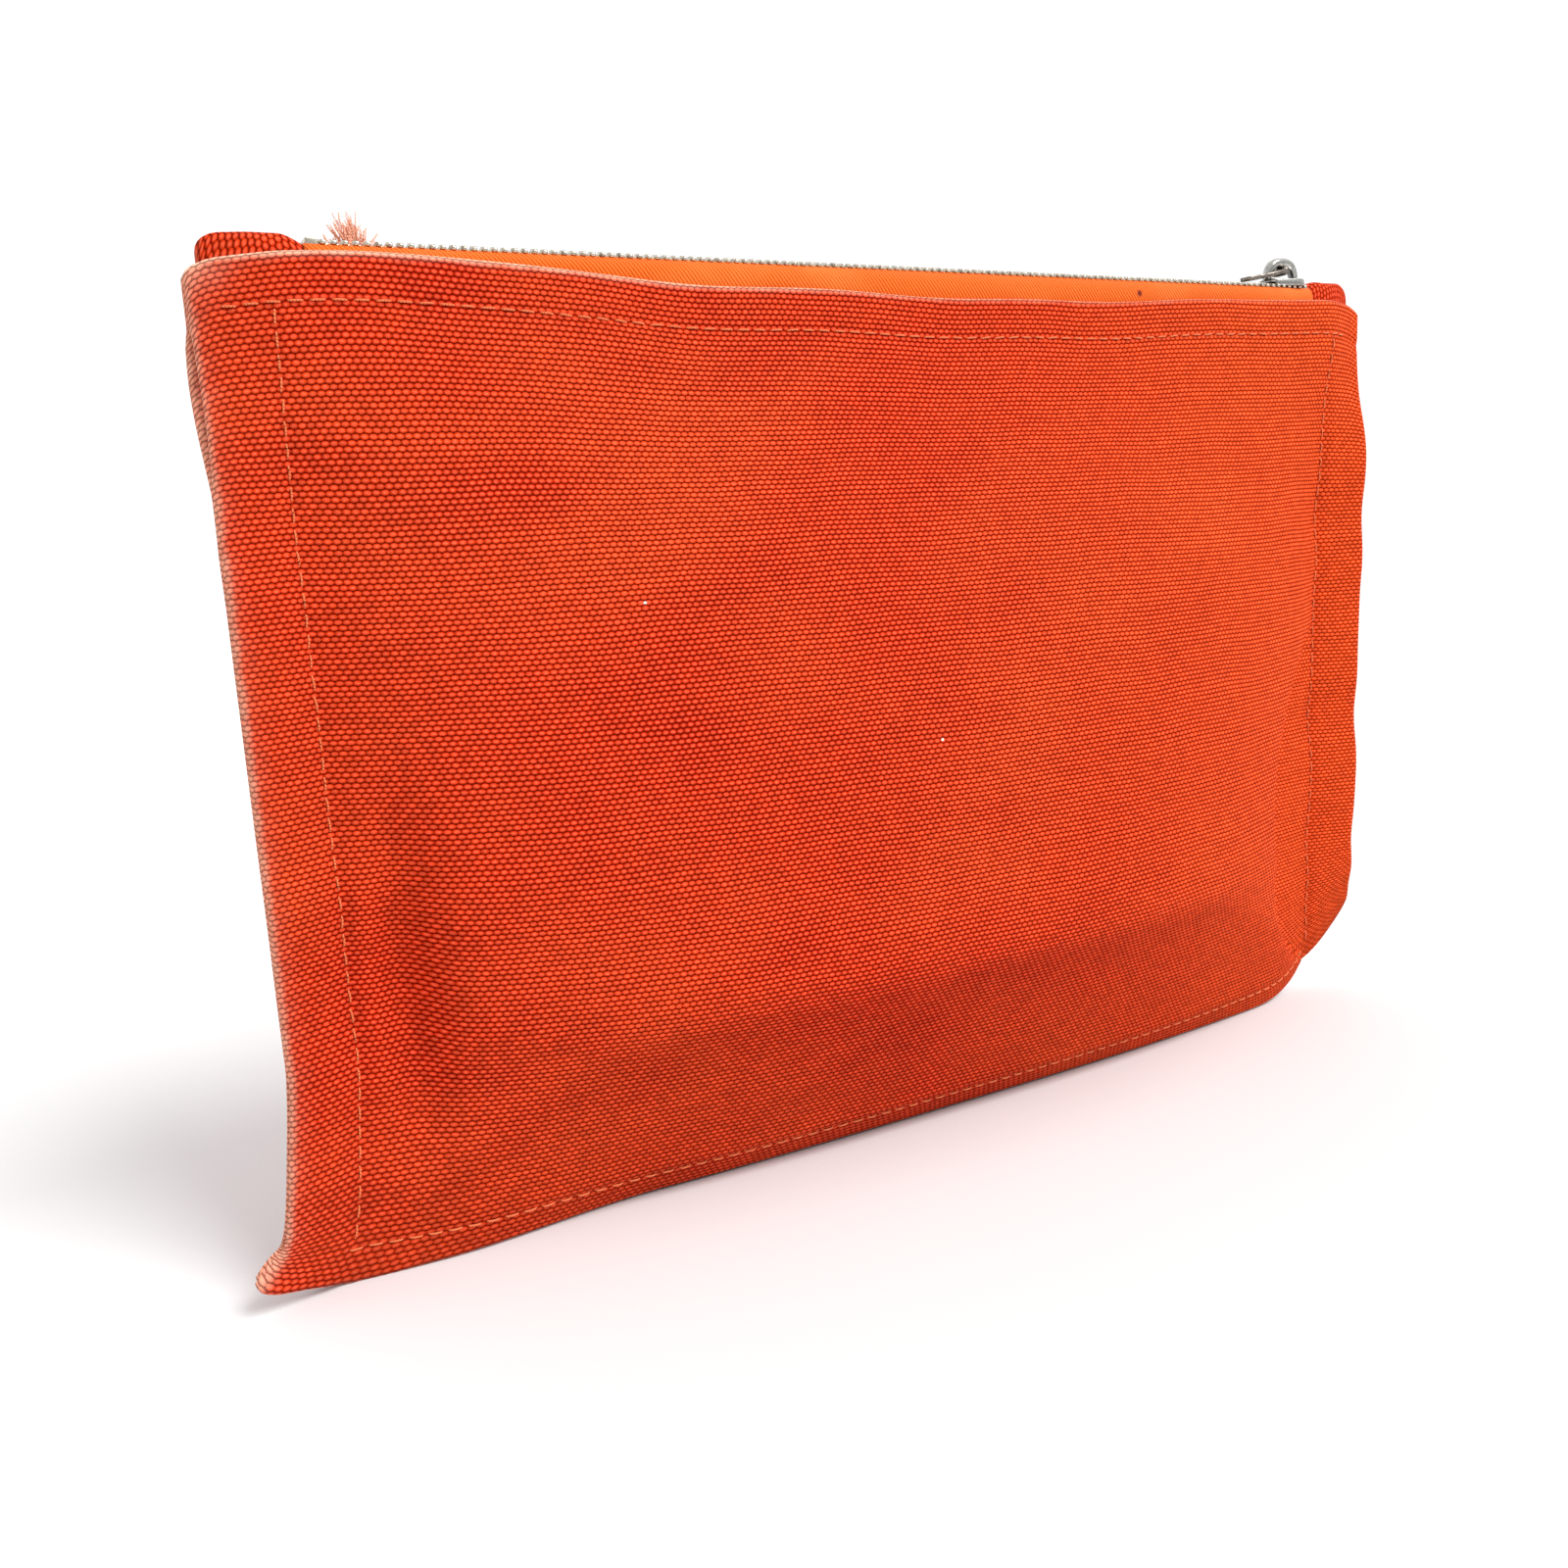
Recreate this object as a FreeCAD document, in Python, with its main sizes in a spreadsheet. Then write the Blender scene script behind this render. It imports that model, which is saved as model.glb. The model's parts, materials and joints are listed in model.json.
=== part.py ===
import FreeCAD, Part

import math
import os
import re

import Sketcher

# Canvas zip pouch, standing on its base.
# Millimetres. +X runs along the zip to the end where the slider rests when the zip is shut,
# -Y is the front, +Z is up, and the origin is the middle of the bounding box's bottom face.

Vector = FreeCAD.Vector
doc = FreeCAD.newDocument("zip_pouch")

# ---------------------------------------------------------------- driving dimensions
sheet = doc.addObject("Spreadsheet::Sheet", "dimensions")
DIMENSIONS = {
    # pouch
    "pouch_width": 285.0,
    "mouth_height": 183.0,
    "seam_margin": 14.0,
    "canvas_thickness": 1.3,
    "folded_thickness": 2.4,
    "mouth_half_gap": 4.5,
    "front_belly": 28.5,
    "back_belly": 28.4,
    "bottom_seam_height": 10.0,
    # zip chain, tapes and stops
    "chain_height": 187.3,
    "chain_start": -119.9,
    "tooth_pitch": 1.9,
    "tooth_count": 127.0,
    "tooth_length": 0.9,
    "tooth_inner": 0.45,
    "tooth_outer": 2.3,
    "tooth_half_height": 1.1,
    "tape_thickness": 0.5,
    "tape_drop_y": 3.85,
    "tape_bottom": 174.5,
    "bead_outer": 3.0,
    "bead_half_height": 0.5,
    "stop_gap": 0.2,
    "bottom_stop_length": 2.3,
    "top_stop_length": 1.2,
    "stop_half_height": 1.15,
    # end tabs
    "left_tab_start": -122.8,
    "right_tab_start": 123.2,
    "tab_end": 140.0,
    "tab_half_width": 4.3,
    "tab_bottom": 174.5,
    "tab_top": 189.6,
    # slider and pull
    "slider_rest": 116.2,
    "slider_length": 10.4,
    "slider_half_width": 3.6,
    "plate_thickness": 1.0,
    "channel_half_height": 1.35,
    "channel_half_width": 3.1,
    "lip_half_gap": 0.5,
    "post_width": 0.6,
    "post_length": 3.0,
    "crown_radius": 4.9,
    "crown_thickness": 0.8,
    "crown_width": 2.6,
    "spring_radius": 3.8,
    "spring_thickness": 0.25,
    "spring_width": 0.8,
    "pivot_rise": 1.95,
    "pull_length": 15.4,
    "pull_width": 5.6,
    "pull_thickness": 1.1,
    "pull_window": 5.3,
    "pull_window_width": 3.1,
    "pull_bar_radius": 1.3,
    "pull_rest_angle": 9.0,
    # thread
    "stitch_length": 3.3,
    "stitch_pitch": 4.5,
    "thread_radius": 0.28,
}
for row, (name, value) in enumerate(DIMENSIONS.items(), start=1):
    sheet.set(f"A{row}", name)
    sheet.set(f"B{row}", str(value))
    sheet.setAlias(f"B{row}", name)
doc.recompute()


def size(name):
    """A driving dimension, read back from the sheet."""
    return float(sheet.get(name))


half_width = size("pouch_width") / 2
seam_x = half_width - size("seam_margin")
parts = {}


def keep(node, feature):
    """Registers a document object as the sub-part called node."""
    feature.Label = node
    parts[node] = feature
    return feature


def shaped(node, shape):
    """A sub-part whose shape comes from Part's own functions."""
    feature = doc.addObject("Part::Feature", node)
    feature.Shape = shape
    return keep(node, feature)


def cells(expression):
    """The expression with each driving dimension's name read from the sheet."""
    return re.sub(r"[a-z]\w*", lambda name: f"dimensions.{name.group()}", str(expression))


def bind(feature, **expressions):
    """Binds properties of a document object to expressions in driving dimensions."""
    for prop, expression in expressions.items():
        feature.setExpression(prop, cells(expression))


def part_object(kind, name, **expressions):
    """A Part primitive or boolean with its sizes bound to the sheet."""
    feature = doc.addObject(f"Part::{kind}", name)
    bind(feature, **expressions)
    return feature


def move(feature, x=0, y=0, z=0):
    """Binds a feature's place to expressions."""
    for axis, expression in (("x", x), ("y", y), ("z", z)):
        feature.setExpression(f"Placement.Base.{axis}", cells(expression))


def body_of(node):
    return keep(node, doc.addObject("PartDesign::Body", node))


def outline_sketch(body, plane, corners, name):
    """A closed polygon on one of the body's origin planes, each corner bound to the sheet."""
    sketch = body.newObject("Sketcher::SketchObject", name)
    origin_plane = next(f for f in body.Origin.OriginFeatures if f.Role == plane)
    sketch.AttachmentSupport = [(origin_plane, "")]
    sketch.MapMode = "FlatFace"
    places = [[float(sheet.evalExpression(re.sub(r"dimensions\.", "", cells(c)))) for c in corner]
              for corner in corners]
    count = len(places)
    for k in range(count):
        start, end = Vector(*places[k], 0), Vector(*places[(k + 1) % count], 0)
        sketch.addGeometry(Part.LineSegment(start, end), False)
    for k in range(count):
        sketch.addConstraint(Sketcher.Constraint("Coincident", k, 2, (k + 1) % count, 1))
    for k in range(count):
        for kind, value, expression in zip(("DistanceX", "DistanceY"), places[k], corners[k]):
            index = sketch.addConstraint(Sketcher.Constraint(kind, -1, 1, k, 1, value))
            sketch.setExpression(f"Constraints[{index}]", cells(expression))
    return sketch


def pad(body, plane, corners, name, length):
    """Pads a polygon equally to both sides of an origin plane."""
    feature = body.newObject("PartDesign::Pad", name)
    feature.Profile = outline_sketch(body, plane, corners, f"{name}_sketch")
    feature.Midplane = True
    bind(feature, Length=length)
    return feature


def pocket(body, plane, corners, name, length):
    """Cuts a polygon equally to both sides of an origin plane."""
    doc.recompute()
    before = body.Shape.Volume
    feature = body.newObject("PartDesign::Pocket", name)
    feature.Profile = outline_sketch(body, plane, corners, f"{name}_sketch")
    feature.Midplane = True
    bind(feature, Length=length)
    doc.recompute()
    assert body.Shape.Volume < before, f"{name} cut nothing"
    return feature


# ---------------------------------------------------------------- canvas panels
# Each panel is a thin wall lofted along X through upright sections. A section runs from the
# folded mouth edge down over the belly to the bottom seam, and on into the flat margin outside
# the stitching, which leans back under the pouch. Fullness is 0 in the side margins and 1 over
# the belly, and moves each point of a section from its flat place to its full one.
TOP_Z = size("mouth_height")
SEAM_Z = size("bottom_seam_height")
MOUTH_Y = size("mouth_half_gap") + size("folded_thickness")
MARGIN_WALL = 2.2  # each panel is doubled in the margin, where its raw edge is turned in
MARGIN_TUCK = 8.0  # how far the bottom margin leans back under the belly
BASE_MIDDLE_Y = 16.0  # the back belly's lowest line, where it is pressed flat on the floor
BASE_WIDTH = 9.0
BASE_REACH = 88.0  # half the length of that flat stretch
FRONT_SEAM_Y = 13.0  # how far in front of the middle plane the bottom seam lies

# shares of the mouth's height, with the share of the belly's depth there and the gap that the
# zip and its end tabs hold open between the side margins
WALL = ((1.0, 0.0, 4.5), (0.95, 0.01, 4.5), (0.9, 0.1, 3.0), (0.845, 0.25, 1.3), (0.765, 0.47, 0.3),
        (0.655, 0.69, 0.06), (0.545, 0.84, 0.05), (0.435, 0.94, 0.05), (0.33, 1.0, 0.05))
# below that, each panel's outer points when full, as (y, z), and the height of each when flat
FRONT_FOOT = ((26.6, 42.0, 42.0), (20.6, 24.0, 24.0))
BACK_FOOT = ((28.4, 42.0, 44.0), (26.8, 20.0, 36.0), (23.0, 5.8, 30.0), (16.0, 0.2, 25.0),
             (8.6, 1.3, 21.0), (1.6, 5.2, 18.0), (-5.0, 9.7, 15.0))
FRONT, BACK = -1, 1
BELLY = {FRONT: size("front_belly"), BACK: size("back_belly")}
FOOT = {FRONT: FRONT_FOOT, BACK: BACK_FOOT}


def fullness(x):
    """How far the belly stands out at x."""
    reach = min(abs(x) / seam_x, 1.0)
    return (1.0 - reach ** 3.2) ** 0.62


def margin(x):
    """The bottom margin: its front corner at the seam, its front corner at the foot, and the
    step across one panel's thickness."""
    full = fullness(x)
    seam_y = -(MARGIN_WALL + (FRONT_SEAM_Y - MARGIN_WALL) * full)
    tuck = MARGIN_TUCK * full
    run = math.hypot(tuck, SEAM_Z)
    across = Vector(0, SEAM_Z / run * MARGIN_WALL, tuck / run * MARGIN_WALL)
    return Vector(x, seam_y, SEAM_Z), Vector(x, seam_y + tuck, 0), across


def outer_points(x, side):
    """A panel's outer face at x from the mouth down, without its last point at the seam."""
    full = fullness(x)
    points = []
    for height, share, gap in WALL:
        flat_y = gap + MARGIN_WALL
        full_y = MOUTH_Y + (BELLY[side] - MOUTH_Y) * share
        points.append(Vector(x, side * (flat_y + (full_y - flat_y) * full), height * TOP_Z))
    for full_y, full_z, flat_z in FOOT[side]:
        y = MARGIN_WALL + (full_y - MARGIN_WALL) * full
        points.append(Vector(x, side * y, flat_z + (full_z - flat_z) * full))
    return points


def wall_thickness(x, z):
    """Two layers in the margins and the folded mouth, and one elsewhere."""
    single = size("canvas_thickness")
    fold = max(0.0, min(1.0, (z / TOP_Z - 0.9) / 0.05))
    in_belly = single + (size("folded_thickness") - single) * fold
    return MARGIN_WALL + (in_belly - MARGIN_WALL) * fullness(x)


def inner_points(outer, side):
    """The wall's inner face: each outer point moved in at right angles to the wall."""
    inner = []
    for k, point in enumerate(outer):
        wall = wall_thickness(point.x, point.z)
        along = outer[min(k + 1, len(outer) - 1)] - outer[max(k - 1, 0)]
        inward = Vector(0, side * along.z, -side * along.y) if k else Vector(0, -side, 0)
        inner.append(point + inward.normalize() * wall)
    return inner


def spline(points):
    curve = Part.BSplineCurve()
    curve.interpolate(points)
    return curve.toShape()


def panel_section(x, side):
    """One closed section of a panel. The front panel lies in the first thickness of the
    bottom margin and the back panel in the second."""
    seam, foot, across = margin(x)
    layer = 0 if side == FRONT else 2
    outer = outer_points(x, side)
    inner = inner_points(outer + [seam + across * layer], side)[:-1]
    outer.append(seam + across * layer)
    inner.append(seam + across)
    outer_foot = foot + across * layer
    inner_foot = foot + across
    return Part.Wire([
        Part.makeLine(outer[0], outer[1]),
        spline(outer[1:]),
        Part.makeLine(outer[-1], outer_foot),
        Part.makeLine(outer_foot, inner_foot),
        Part.makeLine(inner_foot, inner[-1]),
        spline(inner[:0:-1]),
        Part.makeLine(inner[1], inner[0]),
        Part.makeLine(inner[0], outer[0]),
    ])


def panel(side):
    """A panel's belly, with a flat margin at each side."""
    reaches = (0.0, 0.2, 0.4, 0.58, 0.73, 0.85, 0.93, 0.98, 1.0)
    places = sorted({sign * reach * seam_x for reach in reaches for sign in (-1, 1)})
    wall = Part.makeLoft([panel_section(x, side) for x in places], True, False)
    for sign in (-1, 1):
        edge = Part.Face(panel_section(sign * seam_x, side))
        wall = wall.fuse(edge.extrude(Vector(sign * size("seam_margin"), 0, 0)))
    if side == BACK:
        pressed = Part.makeBox(2 * BASE_REACH, BASE_WIDTH, size("canvas_thickness"),
                               Vector(-BASE_REACH, BASE_MIDDLE_Y - BASE_WIDTH / 2, 0))
        wall = wall.fuse(pressed)
    return wall.Solids[0]


shaped("front_panel", panel(FRONT))
shaped("back_panel", panel(BACK))


# ---------------------------------------------------------------- zip tapes
def mirrored(corners, side):
    """The corners of a YZ profile on the front or the back half."""
    return [(f"{side} * ({y})", z) for y, z in corners]


TAPE_PROFILE = (
    ("tooth_outer", "chain_height - bead_half_height"),
    ("bead_outer", "chain_height - bead_half_height"),
    ("bead_outer", "chain_height - tape_thickness / 2"),
    ("tape_drop_y", "chain_height - tape_thickness / 2"),
    ("tape_drop_y", "tape_bottom"),
    ("tape_drop_y + tape_thickness", "tape_bottom"),
    ("tape_drop_y + tape_thickness", "chain_height - tape_thickness / 2"),
    ("tape_drop_y", "chain_height + tape_thickness / 2"),
    ("bead_outer", "chain_height + tape_thickness / 2"),
    ("bead_outer", "chain_height + bead_half_height"),
    ("tooth_outer", "chain_height + bead_half_height"),
)
for side, name in ((FRONT, "front"), (BACK, "back")):
    tape = body_of(f"zip_tape_{name}")
    pad(tape, "YZ_Plane", mirrored(TAPE_PROFILE, side), f"tape_{name}_pad",
        "right_tab_start - left_tab_start")
    move(tape, x="(right_tab_start + left_tab_start) / 2")


# ---------------------------------------------------------------- teeth and stops
def tooth(side):
    """One tooth, clamped on the tape's bead, with a narrower nose towards the other row."""
    length, inner, outer = size("tooth_length"), size("tooth_inner"), size("tooth_outer")
    nose = 0.28 * length
    outline = ((0, outer), (length, outer), (length, inner + 0.7), (length - nose, inner),
               (nose, inner), (0, inner + 0.7))
    corners = [Vector(x, side * y, -size("tooth_half_height")) for x, y in outline]
    face = Part.Face(Part.makePolygon(corners + corners[:1]))
    return face.extrude(Vector(0, 0, 2 * size("tooth_half_height")))


def teeth(side):
    """A row of teeth. The back row stands half a pitch along, between the front row's teeth."""
    start = size("chain_start") + (size("tooth_pitch") / 2 if side == BACK else 0)
    row = []
    for k in range(int(size("tooth_count"))):
        row.append(tooth(side).translated(Vector(start + k * size("tooth_pitch"), 0, size("chain_height"))))
    return Part.makeCompound(row)


shaped("zip_teeth_front", teeth(FRONT))
shaped("zip_teeth_back", teeth(BACK))

bottom_stop = part_object("Box", "bottom_stop", Length="bottom_stop_length", Width="2 * tooth_outer",
                          Height="2 * stop_half_height")
move(bottom_stop, "chain_start - stop_gap - bottom_stop_length", "-tooth_outer",
     "chain_height - stop_half_height")
keep("bottom_stop", bottom_stop)

top_stop_pair = []
for side, name in ((FRONT, "front"), (BACK, "back")):
    stop = part_object("Box", f"top_stop_{name}", Length="top_stop_length",
                       Width="tooth_outer - tooth_inner", Height="2 * stop_half_height")
    near_y = "-tooth_outer" if side == FRONT else "tooth_inner"
    move(stop, "right_tab_start - top_stop_length", near_y, "chain_height - stop_half_height")
    top_stop_pair.append(stop)
top_stops = doc.addObject("Part::Compound", "top_stops")
top_stops.Links = top_stop_pair
keep("top_stops", top_stops)


# ---------------------------------------------------------------- canvas tabs on the zip's ends
LEFT_TAB = (
    ("left_tab_start", "tab_bottom"),
    ("left_tab_start", "tab_top - 1.8"),
    ("left_tab_start - 4", "tab_top - 0.1"),
    ("-tab_end + 4", "tab_top"),
    ("-tab_end + 1", "tab_top - 1.8"),
    ("-tab_end", "tab_top - 5"),
    ("-tab_end", "tab_bottom"),
)
RIGHT_TAB = (
    ("right_tab_start", "tab_bottom"),
    ("tab_end", "tab_bottom"),
    ("tab_end", "tab_top - 5"),
    ("tab_end - 1.2", "tab_top - 1.6"),
    ("tab_end - 4", "tab_top - 0.2"),
    ("tab_end - 9", "tab_top + 0.2"),
    ("right_tab_start", "tab_top - 0.3"),
)
TAB_ROUNDING = 1.6
for node, corners in (("end_tab_left", LEFT_TAB), ("end_tab_right", RIGHT_TAB)):
    tab = body_of(node)
    block = pad(tab, "XZ_Plane", corners, f"{node}_pad", "2 * tab_half_width")
    doc.recompute()
    shoulders = [f"Edge{k}" for k, edge in enumerate(block.Shape.Edges, start=1)
                 if edge.BoundBox.ZMin > size("tab_top") - 2 and edge.BoundBox.YLength < 1e-6]
    rounding = tab.newObject("PartDesign::Fillet", f"{node}_rounding")
    rounding.Base = (block, shoulders)
    rounding.Radius = TAB_ROUNDING


# ---------------------------------------------------------------- slider
# The slider's own frame has its origin on the chain's middle line.
slider = body_of("slider_body")
SLIDER_PLAN = (
    ("-slider_length / 2", "-slider_half_width + 0.5"),
    ("-slider_length / 2 + 2", "-slider_half_width"),
    ("slider_length / 2 - 1", "-slider_half_width"),
    ("slider_length / 2", "-slider_half_width + 1"),
    ("slider_length / 2", "slider_half_width - 1"),
    ("slider_length / 2 - 1", "slider_half_width"),
    ("-slider_length / 2 + 2", "slider_half_width"),
    ("-slider_length / 2", "slider_half_width - 0.5"),
)
pad(slider, "XY_Plane", SLIDER_PLAN, "slider_block", "2 * (channel_half_height + plate_thickness)")
for side, name in ((FRONT, "front"), (BACK, "back")):
    channel = mirrored((
        ("post_width / 2", "-channel_half_height"),
        ("channel_half_width", "-channel_half_height"),
        ("channel_half_width", "-lip_half_gap"),
        ("slider_half_width + 1", "-lip_half_gap"),
        ("slider_half_width + 1", "lip_half_gap"),
        ("channel_half_width", "lip_half_gap"),
        ("channel_half_width", "channel_half_height"),
        ("post_width / 2", "channel_half_height"),
    ), side)
    pocket(slider, "YZ_Plane", channel, f"slider_channel_{name}", "slider_length + 2")
BEHIND_POST = (
    ("-slider_length / 2 - 1", "-channel_half_height"),
    ("slider_length / 2 - post_length", "-channel_half_height"),
    ("slider_length / 2 - post_length", "channel_half_height"),
    ("-slider_length / 2 - 1", "channel_half_height"),
)
pocket(slider, "XZ_Plane", BEHIND_POST, "slider_behind_post", "post_width + 0.2")
PAWL_HOLE = (
    ("-spring_radius - 0.25", "channel_half_height - 0.1"),
    ("-spring_radius + spring_thickness + 0.25", "channel_half_height - 0.1"),
    ("-spring_radius + spring_thickness + 0.25", "channel_half_height + plate_thickness + 0.1"),
    ("-spring_radius - 0.25", "channel_half_height + plate_thickness + 0.1"),
)
pocket(slider, "XZ_Plane", PAWL_HOLE, "slider_pawl_hole", "spring_width + 0.4")
move(slider, "slider_rest", 0, "chain_height")

PLATE_TOP = "chain_height + channel_half_height + plate_thickness"


def half_ring(name, outer, inner, width):
    """Half of an upright ring across the slider's top plate, open below."""
    rim = part_object("Cylinder", f"{name}_rim", Radius=outer, Height=width)
    rim.Angle = 180
    bore = part_object("Cylinder", f"{name}_bore", Radius=inner, Height=f"{width} + 2")
    for disc, reach in ((rim, f"({width}) / 2"), (bore, f"({width}) / 2 + 1")):
        disc.Placement.Rotation = FreeCAD.Rotation(Vector(1, 0, 0), 90)
        move(disc, "slider_rest", reach, PLATE_TOP)
    ring = doc.addObject("Part::Cut", name)
    ring.Base, ring.Tool = rim, bore
    return ring


keep("slider_crown", half_ring("slider_crown", "crown_radius", "crown_radius - crown_thickness",
                               "crown_width"))

spring_arc = half_ring("spring_arc", "spring_radius", "spring_radius - spring_thickness", "spring_width")
pawl = part_object("Box", "pawl", Length="spring_thickness", Width="spring_width",
                   Height="plate_thickness + 0.15")
move(pawl, "slider_rest - spring_radius", "-spring_width / 2", "chain_height + channel_half_height - 0.15")
lock_spring = doc.addObject("Part::Fuse", "lock_spring")
lock_spring.Base, lock_spring.Tool = spring_arc, pawl
keep("lock_spring", lock_spring)


# ---------------------------------------------------------------- pull tab
# Built with its pivot at its own origin and the blade along -X, then tilted down onto the zip.
blade = part_object("Box", "pull_blade", Length="pull_length - pull_width / 2", Width="pull_width",
                    Height="pull_thickness")
move(blade, "-pull_length + pull_width / 2", "-pull_width / 2", "-pull_thickness / 2")
tip = part_object("Cylinder", "pull_tip", Radius="pull_width / 2", Height="pull_thickness")
move(tip, "-pull_length + pull_width / 2", 0, "-pull_thickness / 2")
window = part_object("Box", "pull_window", Length="pull_window + 2", Width="pull_window_width",
                     Height="pull_thickness + 2")
move(window, "-pull_window", "-pull_window_width / 2", "-pull_thickness / 2 - 1")
bar = part_object("Cylinder", "pull_bar", Radius="pull_bar_radius", Height="pull_width")
bar.Placement.Rotation = FreeCAD.Rotation(Vector(1, 0, 0), 90)
move(bar, 0, "pull_width / 2", 0)
blade_and_tip = doc.addObject("Part::Fuse", "pull_blade_and_tip")
blade_and_tip.Base, blade_and_tip.Tool = blade, tip
framed = doc.addObject("Part::Cut", "pull_frame")
framed.Base, framed.Tool = blade_and_tip, window
pull_tab = doc.addObject("Part::Fuse", "pull_tab")
pull_tab.Base, pull_tab.Tool = framed, bar
keep("pull_tab", pull_tab)
pull_tab.Placement.Rotation = FreeCAD.Rotation(Vector(0, 1, 0), -size("pull_rest_angle"))
move(pull_tab, "slider_rest", 0, f"{PLATE_TOP} + pivot_rise")


# ---------------------------------------------------------------- thread
STAND_OFF = 0.1  # between a stitch and the canvas it lies on


def stitches(route, outward):
    """Separate stitches along a smooth curve through points, lifted outward off the canvas."""
    curve = Part.BSplineCurve()
    curve.interpolate(route)
    lift = outward * (size("thread_radius") + STAND_OFF)
    marks = curve.discretize(Distance=size("stitch_pitch"))
    laid = []
    for start, end in zip(marks, marks[1:]):
        along = (end - start).normalize()
        laid.append(Part.makeCylinder(size("thread_radius"), size("stitch_length"), start + lift, along))
    return laid


STITCH_REACH = seam_x - 3
along_mouth = [STITCH_REACH * k / 8 for k in range(-8, 9)]
for side, name in ((FRONT, "front"), (BACK, "back")):
    hem = [outer_points(x, side)[1] for x in along_mouth]
    shaped(f"hem_stitching_{name}", Part.makeCompound(stitches(hem, Vector(0, side, 0))))
for sign, name in ((-1, "left"), (1, "right")):
    laid = []
    for side in (FRONT, BACK):
        down_the_side = [point for point in outer_points(sign * seam_x, side) if point.z > SEAM_Z + 4]
        outside = down_the_side[1:]
        laid += stitches([point + Vector(sign * 0.6, 0, 0) for point in outside], Vector(0, side, 0))
    shaped(f"side_stitching_{name}", Part.makeCompound(laid))
along_bottom = [margin(x)[0] + Vector(0, 0, -1.2) for x in along_mouth]
shaped("bottom_stitching", Part.makeCompound(stitches(along_bottom, Vector(0, -0.9, -0.3))))

LOOSE_THREADS = ((-114.6, -1.6, 9.4), (-113.4, -0.4, 10.2), (-112.4, 0.3, 8.6), (-111.0, 1.6, 7.0))
threads = [Part.makeCone(0.5, 0.15, height, Vector(x, MOUTH_Y - 1.4, TOP_Z + 0.1), Vector(lean_x, 0, height))
           for x, lean_x, height in LOOSE_THREADS]
shaped("loose_threads", Part.makeCompound(threads))


# ---------------------------------------------------------------- checks and export
doc.recompute()
failed = [f.Name for f in doc.Objects if {"Invalid", "Error"} & set(f.State)]
assert not failed, f"failed objects: {failed}"
for node, feature in parts.items():
    assert not feature.Shape.isNull() and feature.Shape.isValid(), f"{node} has no valid shape"

os.makedirs("parts", exist_ok=True)
for node, feature in parts.items():
    feature.Shape.exportStep(f"parts/{node}.step")
    box = feature.Shape.BoundBox
    print(f"{node}: {feature.Shape.Volume:.1f} mm3, x {box.XMin:.2f} to {box.XMax:.2f}, "
          f"y {box.YMin:.2f} to {box.YMax:.2f}, z {box.ZMin:.2f} to {box.ZMax:.2f}")
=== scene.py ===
import json
import math

import bmesh
import bpy
import numpy as np
from mathutils import Matrix, Vector, noise


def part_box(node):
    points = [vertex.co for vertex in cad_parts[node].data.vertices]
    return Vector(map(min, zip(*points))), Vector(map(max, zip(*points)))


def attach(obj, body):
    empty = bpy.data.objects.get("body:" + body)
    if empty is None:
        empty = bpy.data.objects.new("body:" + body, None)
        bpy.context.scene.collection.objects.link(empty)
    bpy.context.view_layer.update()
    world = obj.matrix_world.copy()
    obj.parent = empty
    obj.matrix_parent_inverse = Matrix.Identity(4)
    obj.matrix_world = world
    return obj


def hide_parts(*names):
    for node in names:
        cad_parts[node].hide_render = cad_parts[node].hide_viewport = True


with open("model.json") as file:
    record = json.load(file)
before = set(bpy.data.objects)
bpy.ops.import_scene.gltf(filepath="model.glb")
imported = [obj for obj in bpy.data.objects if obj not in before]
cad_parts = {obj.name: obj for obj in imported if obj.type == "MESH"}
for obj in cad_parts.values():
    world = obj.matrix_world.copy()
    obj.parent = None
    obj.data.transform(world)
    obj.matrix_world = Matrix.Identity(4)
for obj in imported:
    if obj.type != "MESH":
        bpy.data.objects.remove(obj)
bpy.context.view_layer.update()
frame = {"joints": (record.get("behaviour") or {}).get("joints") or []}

# Canvas zip pouch. Metres, in the CAD model's frame: +X along the zip, -Y the front, +Z up.
MM = 0.001
FRONT, BACK = -1, 1
NAMES = {FRONT: "front", BACK: "back"}


# ---- small tools
def smooth(start, end, x):
    """0 before start, 1 after end, and a smooth step between them."""
    share = np.clip((x - start) / (end - start), 0.0, 1.0)
    return share * share * (3.0 - 2.0 * share)


def bump(x, centre, reach):
    """1 at the centre, falling off smoothly over the reach on both sides."""
    return np.exp(-(((x - centre) / reach) ** 2))


def drift(x, y, z):
    """Smooth noise from -1 to 1 at a place."""
    return noise.noise(Vector((x, y, z)))


def squarish(value, power):
    """A sine or cosine pushed out towards the sides of a square, with its sign kept."""
    return math.copysign(abs(value) ** power, value)


def run_along(line):
    """Distance along a line of points, from its start to each of them."""
    steps = np.linalg.norm(np.diff(line, axis=0), axis=1)
    return np.concatenate(([0.0], np.cumsum(steps)))


def waviness(points, scale, seed):
    """Smooth noise from -1 to 1 at each of an array's points, seeded by a shift in space."""
    flat = points.reshape(-1, points.shape[-1]) / scale
    values = [drift(p[0] + seed, p[1] - seed, seed) for p in flat]
    return np.array(values).reshape(points.shape[:-1])


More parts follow.
